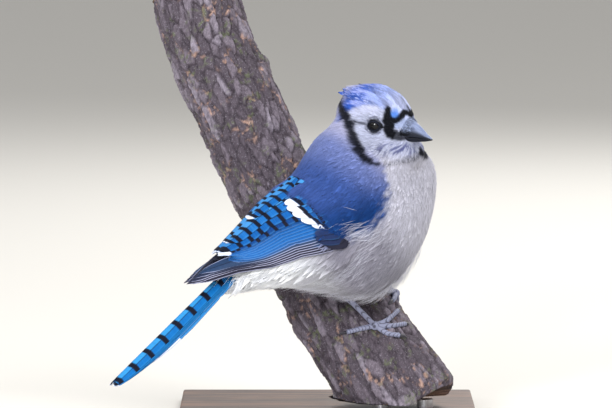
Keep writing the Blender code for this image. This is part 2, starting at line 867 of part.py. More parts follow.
def make_tail(torso):
    root_rings = []
    for place, top, bottom, half_width in TAIL_CORE:
        root_rings.append(oval(BODY, place, TAIL_HEIGHT + top, TAIL_HEIGHT + bottom, half_width, sides=12))
    tail = loft("tail", root_rings)
    pieces = []
    for pair, tip in enumerate(TAIL_TIPS):
        for side in (-1, 1):
            pieces.append(tail_feather(side, pair, tip))
    pieces += tail_coverts(UPPER_COVERTS, UPPER_HEIGHTS, (0.5, 0.3))
    pieces += tail_coverts(UNDER_COVERTS, UNDER_HEIGHTS, (-1.1, -1.1))
    combine(tail, "UNION", pieces)
    keep_largest(tail)
    cut_clear(tail, [torso])
    return tail


# Perch, legs and feet


def perch_axis(height):
    depth = PERCH_DEPTH_AT[1] + (height - PERCH_DEPTH_AT[0]) * PERCH_LEAN
    return Vector((between(PERCH_LINE, height, 1), depth, height))


def bark(angle, along):
    """Height of the bark: long plates that stand up from grooves between them."""
    spot = Vector((math.cos(angle) * 2.2, math.sin(angle) * 2.2, along / BARK_PLATES[1]))
    plates = noise.cell(spot * 1.6) - 0.5
    waves = noise.noise(Vector((math.cos(angle) * 1.1, math.sin(angle) * 1.1, along / BARK_WAVES[1])))
    return BARK_PLATES[0] * plates + BARK_WAVES[0] * waves


def make_perch():
    rings = []
    low, high = PERCH_SPAN
    first = PERCH_LINE[0][0]
    second = PERCH_LINE[1][0]
    for row in range(PERCH_RINGS + 1):
        height = low + (high - low) * row / PERCH_RINGS
        centre = perch_axis(height)
        if height < first:
            run = (first - height) / (second - first)
            centre = perch_axis(first) + (perch_axis(first) - perch_axis(second)) * run
        after = perch_axis(max(height, first) + PERCH_AVERAGE)
        before = perch_axis(max(height, first + PERCH_AVERAGE) - PERCH_AVERAGE)
        along = (after - before).normalized()
        side = along.cross(Vector((0, 1, 0))).normalized()
        other = along.cross(side)
        radius = between(PERCH_LINE, height, 2)
        ring = []
        for step in range(PERCH_SIDES):
            angle = 2 * math.pi * step / PERCH_SIDES
            reach = radius + bark(angle, height)
            ring.append(centre + (side * math.cos(angle) + other * math.sin(angle)) * reach)
        rings.append(ring)
    perch = loft("perch", rings)
    triangulate(perch)
    along = (perch_axis(PERCH_TOP) - perch_axis(PERCH_TOP - 20)).normalized()
    floor_cut = slab("cut", Matrix(), (50, 0, PERCH_FOOT), (0, 0, 1), -1, 300)
    top_cut = slab("cut", Matrix(), perch_axis(PERCH_TOP), along, 1, 300)
    combine(perch, "DIFFERENCE", [floor_cut, top_cut])
    keep_largest(perch)
    return perch


def triangulate(obj):
    shape = bmesh.new()
    shape.from_mesh(obj.data)
    bmesh.ops.triangulate(shape, faces=shape.faces)
    shape.to_mesh(obj.data)
    shape.free()


def on_bark(tree, spot, from_side, lift):
    """A point over the bark, at a spot seen along +Y, or along -X for the far foot."""
    if from_side:
        start, direction = (150, spot[0], spot[1]), (-1, 0, 0)
    else:
        start, direction = (spot[0], -150, spot[1]), (0, 1, 0)
    place, normal = struck(tree, start, direction)
    return place + normal * lift, normal


def make_foot(name, tree, hub_spot, toe_spots, from_side):
    """The foot's middle and its four toes, laid over the bark, with a claw curved down from each."""
    hub, _ = on_bark(tree, hub_spot, from_side, HUB_LIFT)
    foot = ball(name, hub, (HUB_RADIUS,) * 3, None, 10, 7)
    toes = []
    claws = []
    for number, (knuckle, end) in enumerate(toe_spots):
        path = [hub]
        spots = [knuckle, ((knuckle[0] + end[0]) / 2, (knuckle[1] + end[1]) / 2), end]
        for spot in spots:
            path.append(on_bark(tree, spot, from_side, TOE_RADIUS + TOE_CLEAR)[0])
        toes.append(tube("toe", path, TOE_RADII, 7))
        _, normal = on_bark(tree, end, from_side, 0)
        heading = (path[-1] - path[-2]).normalized()
        claws.append(make_claw(f"{name.replace('foot', 'claw')}_{number + 1}", path[-1], heading, normal))
    combine(foot, "UNION", toes)
    keep_largest(foot)
    return foot, claws, hub


def make_claw(name, root, heading, normal):
    """A claw that runs on from a toe's end and bends down to the bark."""
    path = [root]
    steps = len(CLAW_RADII) - 1
    for _ in range(steps):
        path.append(path[-1] + heading * CLAW_LENGTH / steps)
        heading = (heading - normal * CLAW_BEND).normalized()
    return tube(name, path, CLAW_RADII, 6)


def make_leg(name, heel, hub, foot, torso, perch):
    path = [Vector(heel).lerp(hub, share) for share, _ in TARSUS]
    leg = tube(name, path, [radius for _, radius in TARSUS], 8)
    cut_clear(leg, [torso, perch])
    cut_clear(leg, [foot])
    return leg


# Stand


def make_base():
    shape = bmesh.new()
    bmesh.ops.create_cube(shape, size=1)
    mesh = bpy.data.meshes.new("stand_base")
    shape.to_mesh(mesh)
    shape.free()
    mesh.transform(Matrix.Diagonal(Vector(BASE_SIZE) * MM).to_4x4())
    mesh.transform(Matrix.Translation(Vector((BASE_AT[0], BASE_AT[1], BASE_SIZE[2] / 2)) * MM))
    base = bpy.data.objects.new("stand_base", mesh)
    bpy.context.scene.collection.objects.link(base)
    corners = base.modifiers.new("corners", "BEVEL")
    corners.limit_method = "ANGLE"
    corners.width = BASE_EDGE * MM
    corners.segments = 2
    return base


def make_rod(name, place):
    low = BASE_SIZE[2] + GAP
    high = PERCH_FOOT - GAP
    path = [Vector((place[0], place[1], height)) for height in (low, high)]
    return tube(name, path, (ROD_RADIUS, ROD_RADIUS), 24)


# Materials and the finished set


def finish(obj, colour, roughness, metallic=0.0):
    material = bpy.data.materials.new(obj.name + "_finish")
    material.use_nodes = True
    shader = material.node_tree.nodes["Principled BSDF"]
    shader.inputs["Base Color"].default_value = (*colour, 1)
    shader.inputs["Roughness"].default_value = roughness
    shader.inputs["Metallic"].default_value = metallic
    obj.data.materials.clear()
    obj.data.materials.append(material)


BLUE = (0.07, 0.18, 0.55)
MANTLE = (0.22, 0.27, 0.55)
CROWN = (0.24, 0.32, 0.68)
HORN = (0.05, 0.06, 0.08)
SLATE = (0.07, 0.07, 0.09)
DARK_EYE = (0.006, 0.005, 0.005)
BARK = (0.13, 0.10, 0.10)
WALNUT = (0.05, 0.028, 0.018)
STEEL = (0.45, 0.45, 0.46)


def build():
    empty_scene()
    perch = make_perch()
    bark_tree = tree_of(perch)
    torso = body_form()
    head, neck = part_body(torso)
    open_sockets(head)
    add_crest(head)
    upper, lower = make_bill(head)
    eyes = [make_eye(-1, "eye_right"), make_eye(1, "eye_left")]
    tail = make_tail(torso)
    wings = [
        make_wing(-1, "wing_right", [torso, neck, head, tail]),
        make_wing(1, "wing_left", [torso, neck, head, tail]),
    ]
    right_foot, right_claws, right_hub = make_foot("foot_right", bark_tree, RIGHT_HUB, RIGHT_TOES, False)
    left_foot, left_claws, left_hub = make_foot("foot_left", bark_tree, LEFT_HUB, LEFT_TOES, True)
    for foot in (right_foot, left_foot):
        cut_clear(foot, [perch])
    for claw in right_claws:
        cut_clear(claw, [right_foot, perch])
    for claw in left_claws:
        cut_clear(claw, [left_foot, perch])
    legs = [
        make_leg("leg_right", RIGHT_HEEL, right_hub, right_foot, torso, perch),
        make_leg("leg_left", LEFT_HEEL, left_hub, left_foot, torso, perch),
    ]
    base = make_base()
    rods = [make_rod(f"stand_rod_{index + 1}", place) for index, place in enumerate(ROD_AT)]

    finish(torso, MANTLE, 0.8)
    finish(neck, MANTLE, 0.8)
    finish(head, CROWN, 0.75)
    finish(upper, HORN, 0.35)
    finish(lower, HORN, 0.35)
    for eye in eyes:
        finish(eye, DARK_EYE, 0.05)
    for wing in wings:
        finish(wing, BLUE, 0.6)
    finish(tail, BLUE, 0.6)
    for piece in legs + [right_foot, left_foot]:
        finish(piece, SLATE, 0.5)
    for claw in right_claws + left_claws:
        finish(claw, HORN, 0.3)
    finish(perch, BARK, 0.9)
    finish(base, WALNUT, 0.4)
    for rod in rods:
        finish(rod, STEEL, 0.3, 1.0)
    smooth = [torso, neck, head, upper, lower, tail, perch, right_foot, left_foot]
    for obj in smooth + eyes + wings + legs + right_claws + left_claws + rods:
        obj.data.shade_smooth()
        obj.data.set_sharp_from_angle(angle=math.radians(35))
    set_origin()


def set_origin():
    """Moves everything so that the origin is under the middle of the whole, on the floor."""
    bpy.context.view_layer.update()
    low = Vector((math.inf,) * 3)
    high = -low
    nodes = [obj for obj in bpy.data.objects if obj.type == "MESH"]
    for obj in nodes:
        for vertex in obj.data.vertices:
            place = obj.matrix_world @ vertex.co
            low = Vector(map(min, low, place))
            high = Vector(map(max, high, place))
    holder = bpy.data.objects.new("jay_on_stand", None)
    bpy.context.scene.collection.objects.link(holder)
    for obj in nodes:
        obj.parent = holder
    holder.location = (-(low.x + high.x) / 2, -(low.y + high.y) / 2, -low.z)
    bpy.context.view_layer.update()


build()
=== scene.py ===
# %% [markdown]
# A blue jay at life size, dressed feather by feather.
#
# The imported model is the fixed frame: it gives the size, the pose and the place of every piece. This
# script keeps that frame and gives it its looks. It can be read as a notebook, one cell at a time. The
# bird's own lengths are written in millimetres and turned into metres where a mesh is made.

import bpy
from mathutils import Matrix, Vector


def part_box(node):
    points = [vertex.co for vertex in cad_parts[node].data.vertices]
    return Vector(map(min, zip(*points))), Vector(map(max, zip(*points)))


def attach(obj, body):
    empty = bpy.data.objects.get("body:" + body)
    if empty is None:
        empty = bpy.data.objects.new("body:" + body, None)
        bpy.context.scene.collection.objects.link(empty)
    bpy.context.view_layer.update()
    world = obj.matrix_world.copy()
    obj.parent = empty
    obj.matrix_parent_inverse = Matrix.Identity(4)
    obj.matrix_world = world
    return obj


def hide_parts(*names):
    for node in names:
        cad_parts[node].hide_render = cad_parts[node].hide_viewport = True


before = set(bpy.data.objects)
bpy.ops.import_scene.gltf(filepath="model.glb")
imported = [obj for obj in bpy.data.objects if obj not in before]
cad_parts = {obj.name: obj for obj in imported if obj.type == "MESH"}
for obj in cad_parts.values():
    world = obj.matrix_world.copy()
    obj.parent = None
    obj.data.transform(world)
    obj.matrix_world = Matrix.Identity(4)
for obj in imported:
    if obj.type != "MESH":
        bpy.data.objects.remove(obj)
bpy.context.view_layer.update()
print("nodes:", ", ".join(sorted(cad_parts)))

# %% Modules
import math
from types import SimpleNamespace

import bmesh
import bpy
import numpy as np
from mathutils import Matrix, Vector, noise
from mathutils.bvhtree import BVHTree

MM = 0.001

# %% [markdown]
# The bird has two frames of its own. Body places are told along its back, to its left and up from its
# belly; head places are told from the point midway between the eyes, with x along the bill. A mark is
# then written once in plain millimetres and lands in the right place, however the bird is turned.

# %% The bird's two frames
BASE_AT = (12, 16)
BODY_AT = (16.1, -38.5, 105.8)
BODY_YAW = 22
BODY_PITCH = 42
HEAD_IN_BODY = (61.8, -5.1, 25.5)
HEAD_YAW = -42
HEAD_PITCH = -4


def base_shift():
    """How far the frame's origin lies from the one that the bird's places are told from."""
    low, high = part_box("stand_base")
    return np.array([(low.x + high.x) / 2 / MM - BASE_AT[0], (low.y + high.y) / 2 / MM - BASE_AT[1], 0])


class Axes:
    """Own axes of a part of the bird: where they start and how they are turned."""

    def __init__(self, origin, yaw, pitch):
        turn = Matrix.Rotation(math.radians(yaw), 3, "Z") @ Matrix.Rotation(math.radians(-pitch), 3, "Y")
        self.turn = np.array(turn)
        self.origin = np.asarray(origin, float)

    def world(self, points):
        """Places in millimetres along these axes, as metres in the shared frame."""
        return (np.asarray(points, float) @ self.turn.T + self.origin) * MM

    def local(self, points):
        return (np.asarray(points, float) / MM - self.origin) @ self.turn

    def direction(self, vectors):
        return np.asarray(vectors, float) @ self.turn.T


SHIFT = base_shift()
BODY = Axes(np.array(BODY_AT) + SHIFT, BODY_YAW, BODY_PITCH)
HEAD = Axes(BODY.world(HEAD_IN_BODY) / MM, HEAD_YAW, HEAD_PITCH)
print("shift from the bird's own origin:", np.round(SHIFT, 3))

# %% [markdown]
# The camera stands where the photographer stood: a long lens, two and a half metres away, a little
# above the bird. The floor is one pale plane, and the light is that of a studio: one large soft lamp
# high on the right, a weaker one on the left, one behind and one low in front, and a small bright one
# whose only job is the spark in the eye.

# %% Camera
PIXELS_PER_MM = 1.8
CAMERA_FAR = 2500
CAMERA_UP = 5
IMAGE = (612, 408)
SENSOR = 36
BASE_HEIGHT = 6


def make_camera():
    tilt = math.radians(CAMERA_UP)
    middle = BASE_HEIGHT + IMAGE[1] / 2 / PIXELS_PER_MM / math.cos(tilt)
    target = Vector((SHIFT[0], SHIFT[1], middle)) * MM
    away = Vector((0, -math.cos(tilt), math.sin(tilt)))
    data = bpy.data.cameras.new("camera")
    data.sensor_width = SENSOR
    data.lens = SENSOR * CAMERA_FAR / (IMAGE[0] / PIXELS_PER_MM)
    data.clip_start = 0.1
    camera = bpy.data.objects.new("camera", data)
    camera.location = target + away * CAMERA_FAR * MM
    camera.rotation_euler = (-away).to_track_quat("-Z", "Y").to_euler()
    bpy.context.scene.collection.objects.link(camera)
    bpy.context.scene.camera = camera
    return target


TARGET = make_camera()
print("camera looks at", tuple(round(v, 4) for v in TARGET))


# %% Floor and light
FLOOR_SIZE = 40


def area_light(name, place, size, power, colour=(1, 1, 1)):
    data = bpy.data.lights.new(name, "AREA")
    data.size = size
    data.energy = power
    data.color = colour
    lamp = bpy.data.objects.new(name, data)
    lamp.location = TARGET + Vector(place)
    lamp.rotation_euler = (-Vector(place)).to_track_quat("-Z", "Y").to_euler()
    bpy.context.scene.collection.objects.link(lamp)
    return lamp


def make_floor():
    """One wide plane, so that its far edge stays out of the picture from every side."""
    bpy.ops.object.select_all(action="DESELECT")
    bpy.ops.mesh.primitive_plane_add(size=FLOOR_SIZE)
    floor = bpy.context.object
    floor.name = "floor"
    material = bpy.data.materials.new("pale_floor")
    material.use_nodes = True
    shader = material.node_tree.nodes["Principled BSDF"]
    shader.inputs["Base Color"].default_value = (0.66, 0.64, 0.60, 1)
    shader.inputs["Roughness"].default_value = 0.7
    floor.data.materials.append(material)
    return floor


def make_world():
    world = bpy.data.worlds.new("studio")
    world.use_nodes = True
    back = world.node_tree.nodes["Background"]
    back.inputs["Color"].default_value = (0.80, 0.80, 0.80, 1)
    back.inputs["Strength"].default_value = 0.68
    bpy.context.scene.world = world


make_floor()
make_world()
area_light("key", (0.9, -0.9, 1.6), 1.3, 31, (1, 0.985, 0.96))
area_light("fill", (-1.35, -0.85, 1.15), 1.5, 9, (0.94, 0.97, 1))
area_light("rim", (0.6, 1.4, 1.2), 1.2, 22)
area_light("low", (-0.5, -1.7, 0.12), 1.4, 9, (0.94, 0.96, 1))
area_light("spark", (-0.72, -1.6, 0.62), 0.32, 23)
bpy.context.scene.view_settings.view_transform = "Standard"
print("floor, world and five lamps")

# %% [markdown]
# Most pieces below end as arrays of points and faces, because a coat has tens of thousands of small
# feathers. One feather is modelled with Blender's own tools, its mesh is read into arrays, and a few
# lines of numpy bend and place the copies. These helpers go both ways.


# %% Helpers for meshes
def deselect():
    bpy.ops.object.select_all(action="DESELECT")


def pick(obj):
    """Leaves one object selected and active."""
    deselect()
    obj.select_set(True)
    bpy.context.view_layer.objects.active = obj


def apply_modifier(obj, name, kind, **settings):
    modifier = obj.modifiers.new(name, kind)
    for key, value in settings.items():
        setattr(modifier, key, value)
    pick(obj)
    bpy.ops.object.modifier_apply(modifier=name)


def points_of(obj):
    flat = np.empty(len(obj.data.vertices) * 3, np.float32)
    obj.data.vertices.foreach_get("co", flat)
    return flat.reshape(-1, 3).astype(float)


def move_points(obj, points):
    obj.data.vertices.foreach_set("co", np.asarray(points, np.float32).ravel())
    obj.data.update()


def normals_of(obj):
    flat = np.empty(len(obj.data.vertices) * 3, np.float32)
    obj.data.vertex_normals.foreach_get("vector", flat)
    return flat.reshape(-1, 3).astype(float)


def triangles_of(obj):
    obj.data.calc_loop_triangles()
    flat = np.empty(len(obj.data.loop_triangles) * 3, np.int32)
    obj.data.loop_triangles.foreach_get("vertices", flat)
    return flat.reshape(-1, 3)


def mesh_from_arrays(name, points, quads, triangles):
    """A mesh from arrays: every quad and every triangle is a row of point numbers."""
    mesh = bpy.data.meshes.new(name)
    mesh.vertices.add(len(points))
    mesh.vertices.foreach_set("co", np.asarray(points, np.float32).ravel())
    loops = np.concatenate([np.asarray(rows, np.int32).ravel() for rows in (quads, triangles)])
    mesh.loops.add(len(loops))
    mesh.loops.foreach_set("vertex_index", loops)
    sizes = np.concatenate([np.full(len(quads), 4), np.full(len(triangles), 3)])
    starts = np.concatenate([[0], np.cumsum(sizes)[:-1]])
    mesh.polygons.add(len(sizes))
    mesh.polygons.foreach_set("loop_start", starts.astype(np.int32))
    mesh.polygons.foreach_set("use_smooth", np.ones(len(sizes), bool))
    mesh.update(calc_edges=True)
    mesh.validate()
    obj = bpy.data.objects.new(name, mesh)
    bpy.context.scene.collection.objects.link(obj)
    return obj, loops


def keep_colours(obj, name, colours):
    """Keeps three numbers at every point of a mesh, which a finish can read by their name."""
    layer = obj.data.color_attributes.new(name, "FLOAT_COLOR", "POINT")
    full = np.ones((len(obj.data.vertices), 4), np.float32)
    full[:, :3] = np.reshape(colours, (-1, 3))
    layer.data.foreach_set("color", full.ravel())


def keep_map(obj, name, places):
    """Keeps a flat place for every corner of a mesh."""
    layer = obj.data.uv_layers.new(name=name)
    layer.data.foreach_set("uv", places.astype(np.float32).ravel())


def smoothstep(low, high, value):
    share = np.clip((np.asarray(value, float) - low) / (high - low), 0, 1)
    return share * share * (3 - 2 * share)


def unit(vectors):
    return vectors / np.maximum(np.linalg.norm(vectors, axis=-1, keepdims=True), 1e-12)


# %% [markdown]
# Materials are built from nodes. A helper that adds one node and links what goes into it keeps each
# finish short enough to read as a recipe.


# %% Helpers for materials
class Finish:
    """A material with a Principled shader, and short ways to add nodes to it."""

    def __init__(self, name, roughness=0.6, **values):
        self.material = bpy.data.materials.new(name)
        self.material.use_nodes = True
        self.tree = self.material.node_tree
        self.shader = self.tree.nodes["Principled BSDF"]
        self.shader.inputs["Roughness"].default_value = roughness
        for socket, value in values.items():
            self.shader.inputs[socket.replace("_", " ")].default_value = value

    def node(self, kind, values=(), output=0, **settings):
        made = self.tree.nodes.new(kind)
        for key, value in settings.items():
            setattr(made, key, value)
        for socket, value in dict(values).items():
            if isinstance(value, bpy.types.NodeSocket):
                self.tree.links.new(value, made.inputs[socket])
            else:
                made.inputs[socket].default_value = value
        return made.outputs[output]

    def math(self, operation, a, b=0.0, c=0.0):
        return self.node("ShaderNodeMath", {0: a, 1: b, 2: c}, operation=operation)

    def times(self, a, b):
        return self.math("MULTIPLY", a, b)

    def plus(self, a, b):
        return self.math("ADD", a, b)

    def minus(self, a, b):
        return self.math("SUBTRACT", a, b)

    def split(self, name):
        """The three numbers that an attribute keeps at the points."""
        parts = self.tree.nodes.new("ShaderNodeSeparateColor")
        self.tree.links.new(self.attribute(name), parts.inputs[0])
        return parts.outputs[:3]

    def step(self, value, low, high):
        """0 below low, 1 above high, smooth between."""
        return self.node(
            "ShaderNodeMapRange",
            {0: value, 1: low, 2: high, 3: 0.0, 4: 1.0},
            interpolation_type="SMOOTHSTEP",
        )

    def mix(self, share, a, b):
        made = self.tree.nodes.new("ShaderNodeMix")
        made.data_type = "RGBA"
        for socket, value in ((0, share), (6, a), (7, b)):
            if isinstance(value, bpy.types.NodeSocket):
                self.tree.links.new(value, made.inputs[socket])
            elif socket == 0:
                made.inputs[socket].default_value = value
            else:
                made.inputs[socket].default_value = (*value[:3], 1)
        return made.outputs[2]

    def noise(self, scale, detail=3, vector=None, distortion=0.0):
        values = {"Scale": scale, "Detail": detail, "Distortion": distortion}
        if vector is not None:
            values["Vector"] = vector
        return self.node("ShaderNodeTexNoise", values)

    def attribute(self, name):
        return self.node("ShaderNodeAttribute", attribute_name=name)

    def uv(self, name):
        place = self.node("ShaderNodeUVMap", uv_map=name)
        split = self.tree.nodes.new("ShaderNodeSeparateXYZ")
        self.tree.links.new(place, split.inputs[0])
        return split.outputs[0], split.outputs[1]

    def join(self, x, y, z=0.0):
        return self.node("ShaderNodeCombineXYZ", {0: x, 1: y, 2: z})

    def object_place(self, scale):
        """Object coordinates, stretched by a Mapping node."""
        source = self.node("ShaderNodeTexCoord", output=3)
        return self.node("ShaderNodeMapping", {0: source, 3: scale}, vector_type="POINT")

    def colour(self, value):
        self.tree.links.new(value, self.shader.inputs["Base Color"])

    def rough(self, value):
        self.tree.links.new(value, self.shader.inputs["Roughness"])

    def bump(self, height, distance, strength=1.0):
        values = {"Strength": strength, "Distance": distance, "Height": height}
        made = self.node("ShaderNodeBump", values)
        self.tree.links.new(made, self.shader.inputs["Normal"])


def dress(obj, finish, slot, *replaced):
    """Gives a finished piece its material and its body, and hides the nodes that it stands for. The slot
    is not used.
    """
    obj.data.materials.clear()
    obj.data.materials.append(finish.material)
    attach(obj, "root")
    if replaced:
        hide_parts(*replaced)
    return obj


# %% [markdown]
# The skin is the bird as it would be under its feathers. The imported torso, neck and head are three
# solids with a thin gap between them; here copies of them are puffed up by less than a millimetre so
# that they meet, joined with a low pad for each folded arm of the wing and a root for the tail, and
# remeshed into one closed surface. Smoothing takes the flat facets away, and the whole is then drawn
# in by the depth of the coat, least at the face.


# %% Forms drawn out of a ball
def from_ball(name, segments, rings, shape):
    """A ball whose rings are drawn out one by one: shape(share, angle, pole) places its points."""
    deselect()
    bpy.ops.mesh.primitive_uv_sphere_add(segments=segments, ring_count=rings, radius=1)
    ball = bpy.context.object
    ball.name = name
    points = points_of(ball)
    ring = np.arccos(np.clip(points[:, 2], -1, 1)) / np.pi * rings
    share = np.clip((np.round(ring) - 1) / (rings - 2), 0, 1)
    pole = np.hypot(points[:, 0], points[:, 1]) < 1e-6
    move_points(ball, shape(share, np.arctan2(points[:, 1], points[:, 0]), pole))
    close_smoothly(ball)
    return ball


def close_smoothly(obj):
    """Turns a closed mesh's faces outwards and shades them smooth."""
    recalculate(obj)
    smooth_shading(obj)


def recalculate(obj):
    pick(obj)
    bpy.ops.object.mode_set(mode="EDIT")
    bpy.ops.mesh.select_all(action="SELECT")
    bpy.ops.mesh.normals_make_consistent(inside=False)
    bpy.ops.object.mode_set(mode="OBJECT")


def smooth_shading(obj):
    pick(obj)
    bpy.ops.object.shade_smooth()


def crisp_rims(obj):
    """Smooth faces with sharp rims, so that a thin blade isn't shaded like a bead."""
    pick(obj)
    bpy.ops.object.shade_smooth_by_angle(angle=math.radians(55))


def from_grid(name, columns, rows, shape, depth):
    """A sheet from a grid: shape(along, across) places its points, a wall of this depth closes it."""
    deselect()
    bpy.ops.mesh.primitive_grid_add(x_subdivisions=columns, y_subdivisions=rows, size=2)
    sheet = bpy.context.object
    sheet.name = name
    points = points_of(sheet)
    move_points(sheet, shape(points[:, 0], points[:, 1]))
    apply_modifier(sheet, "wall", "SOLIDIFY", thickness=depth * MM, offset=0.0)
    recalculate(sheet)
    return sheet


def join(objects):
    deselect()
    for obj in objects:
        obj.select_set(True)
    bpy.context.view_layer.objects.active = objects[0]
    bpy.ops.object.join()
    return objects[0]


# %% [markdown]
# A folded wing wraps the flank like the side of a barrel. The wing's shell is told by a few sections
# along the body, each an ellipse; a place on it is a length along the body and an arc round the
# section, counted from the wing's lower edge up to the back. Pads, coverts and flight feathers are
# all laid on this one shell, so they follow each other.

# %% The shell of the folded wing
WING_SHELL = np.array((
    # place along the body, half width, top, bottom, angle in degrees where the wing's edge lies
    (-86, 2.5, 41.5, 35.5, 0),
    (-79, 3.5, 41, 34, 0),
    (-69, 7, 41, 28, 0),
    (-57, 12, 41, 19, 0),
    (-43, 19, 41.5, 1, 0),
    (-28, 25.5, 42, -17, 5),
    (-19, 29, 42.5, -31, 6),
    (-8, 32, 41.5, -39, 2),
    (5, 34, 42, -42, 2),
    (20, 34.5, 43.5, -42, 2),
    (40, 32, 46, -38, 2),
), float)
ARC_STEPS = 72
# from where to where a section is measured, in radians round it: from under the wing to over the back
ARC_REACH = (-0.6, 2.0)
SLOPE_STEP = 4


def shell_section(place):
    """Half width, half height, middle and start angle of the shell at places along the body."""
    width, top, bottom, start = (np.interp(place, WING_SHELL[:, 0], row) for row in WING_SHELL.T[1:])
    return width, (top - bottom) / 2, (top + bottom) / 2, np.radians(start)


def wing_points(place, arc, lift, side):
    """Points of the shell in metres, with their outward normals, for arrays of places and arcs."""
    place, arc, lift = np.broadcast_arrays(np.asarray(place, float), arc, lift)
    width, height, middle, start = shell_section(place.ravel())
    angle = start[:, None] + np.linspace(*ARC_REACH, ARC_STEPS + 1)[None]
    run = np.hypot(width[:, None] * np.sin(angle), height[:, None] * np.cos(angle))
    run = np.cumsum((run[:, 1:] + run[:, :-1]) / 2 * np.diff(angle), axis=1)
    length = np.concatenate([np.zeros((len(width), 1)), run], axis=1)
    zero = np.array([np.interp(0.0, row - s, total) for row, total, s in zip(angle, length, start)])
    goal = zero + arc.ravel()
    turn = np.array([np.interp(far, total, row) for far, total, row in zip(goal, length, angle)])
    normal = unit(np.stack([np.zeros_like(turn), height * np.cos(turn), width * np.sin(turn)], axis=-1))
    point = np.stack([place.ravel(), width * np.cos(turn), middle + height * np.sin(turn)], axis=-1)
    point += normal * lift.ravel()[:, None]
    behind, ahead = (shell_section(place.ravel() + step)[0] for step in (-SLOPE_STEP, SLOPE_STEP))
    slope = (behind - ahead) / (2 * SLOPE_STEP)
    normal = unit(normal + np.stack([slope * normal[:, 1], 0 * slope, 0 * slope], axis=-1))
    flip = np.array([1, side, 1])
    shape = place.shape + (3,)
    return BODY.world(point * flip).reshape(shape), BODY.direction(normal * flip).reshape(shape)


# %% Pads of the wings and root of the tail
# where the pad starts and ends along the body, how round its front is, its arcs and its height
PAD_FRONT = 27
PAD_BACK = -12
PAD_ROUND = 14
PAD_ARC = (3, 53)
PAD_LOW = -2.8
PAD_SWELL = 5.0
PAD_THICK = 3.2
TAIL_HEIGHT = 31
TAIL_ROOT_FORM = np.array((
    # place along the body, top and bottom from the tail's height, half width
    (-40, 1.0, -26, 10),
    (-44, 0.6, -25, 10.5),
    (-56, -0.5, -20, 10),
    (-65, -0.5, -13, 8),
    (-71, -2, -8, 5),
), float)


def wing_pad(side):
    def shape(along, across):
        front = PAD_FRONT - PAD_ROUND * across**2
        place = front + (PAD_BACK - front) * (along + 1) / 2
        arc = PAD_ARC[0] + (PAD_ARC[1] - PAD_ARC[0]) * (across + 1) / 2
        swell = (1 - along**4) * (1 - across**4)
        return wing_points(place, arc, PAD_LOW + PAD_SWELL * swell - PAD_THICK / 2, side)[0]

    return from_grid("wing_pad", 20, 26, shape, PAD_THICK)


def tail_root():
    places, *columns = TAIL_ROOT_FORM.T

    def shape(share, angle, pole):
        place = places[0] + (places[-1] - places[0]) * share
        top, bottom, width = (np.interp(-place, -places, row) for row in columns)
        reach = np.where(pole, 0, 1)
        across = width * np.cos(angle) * reach
        up = (top + bottom) / 2 + (top - bottom) / 2 * np.sin(angle) * reach
        return BODY.world(np.stack([place, across, TAIL_HEIGHT + up], axis=-1))

    return from_ball("tail_root", 28, 16, shape)


# %% One closed skin
PUFF = 0.45
SKIN_VOXEL = 1.15
SKIN_SMOOTHING = 14
OPENING = 1.5


def packed_copy(name):
    """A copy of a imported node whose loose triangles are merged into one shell."""
    copy = bpy.data.objects.new(name + "_copy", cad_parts[name].data.copy())
    bpy.context.scene.collection.objects.link(copy)
    pick(copy)
    bpy.ops.object.mode_set(mode="EDIT")
    bpy.ops.mesh.select_all(action="SELECT")
    bpy.ops.mesh.remove_doubles(threshold=0.01 * MM)
    bpy.ops.object.mode_set(mode="OBJECT")
    return copy


def make_skin():
    parts = []
    for name in ("torso", "neck", "head"):
        part = packed_copy(name)
        apply_modifier(part, "puff", "DISPLACE", strength=PUFF * MM, mid_level=0.0)
        parts.append(part)
    parts += [wing_pad(-1), wing_pad(1), tail_root()]
    skin = join(parts)
    skin.name = "skin"
    apply_modifier(skin, "whole", "REMESH", mode="VOXEL", voxel_size=SKIN_VOXEL * MM)
    apply_modifier(skin, "shrink", "DISPLACE", strength=-OPENING * MM, mid_level=0.0)
    apply_modifier(skin, "drop_crest", "REMESH", mode="VOXEL", voxel_size=SKIN_VOXEL * MM)
    apply_modifier(skin, "soften", "SMOOTH", factor=0.5, iterations=SKIN_SMOOTHING)
    keep_largest(skin)
    return skin


def keep_largest(obj):
    """Deletes all but the largest closed surface of a mesh."""
    shape = bmesh.new()
    shape.from_mesh(obj.data)
    left = set(shape.verts)
    islands = []
    while left:
        island, edge = set(), [left.pop()]
        while edge:
            vert = edge.pop()
            island.add(vert)
            for link in vert.link_edges:
                other = link.other_vert(vert)
                if other in left:
                    left.remove(other)
                    edge.append(other)
        islands.append(island)
    islands.sort(key=len)
    for island in islands[:-1]:
        bmesh.ops.delete(shape, geom=list(island), context="VERTS")
    shape.to_mesh(obj.data)
    shape.free()


SKIN = make_skin()
print("skin:", len(SKIN.data.vertices), "points")

# %% [markdown]
# How deep the skin lies under the tips of the coat is different from place to place: about a
# millimetre on the face, two on the crown and nape, and nearly three on the breast and belly. Round
# each eye the skin is pressed into a shallow dish, so that the eyeball stands in it as a real one
# does instead of lying on top.

# %% Depth of the coat and dishes for the eyes
FACE_MIDDLE = np.array((10, 0, -2))
EYE_CENTRE = (-1, 8.3, 0)
EYE_FORWARD = 20
EYE_RADIUS = 5
DISH_OUT = 3.0
DISH_SIZE = (7.0, 5.6)
LIDS_REACH = (4.0, 3.15)


def eye_axes(side):
    """The eye's own axes: x forwards along the lids, y out to where it looks, z up."""
    x, y, z = EYE_CENTRE
    axes = Axes(HEAD.world((x, side * y, z)) / MM, 0, 0)
    turn = Matrix.Rotation(math.radians(-side * EYE_FORWARD), 3, "Z")
    axes.turn = HEAD.turn @ np.array(turn)
    return axes


EYES = {side: eye_axes(side) for side in (-1, 1)}


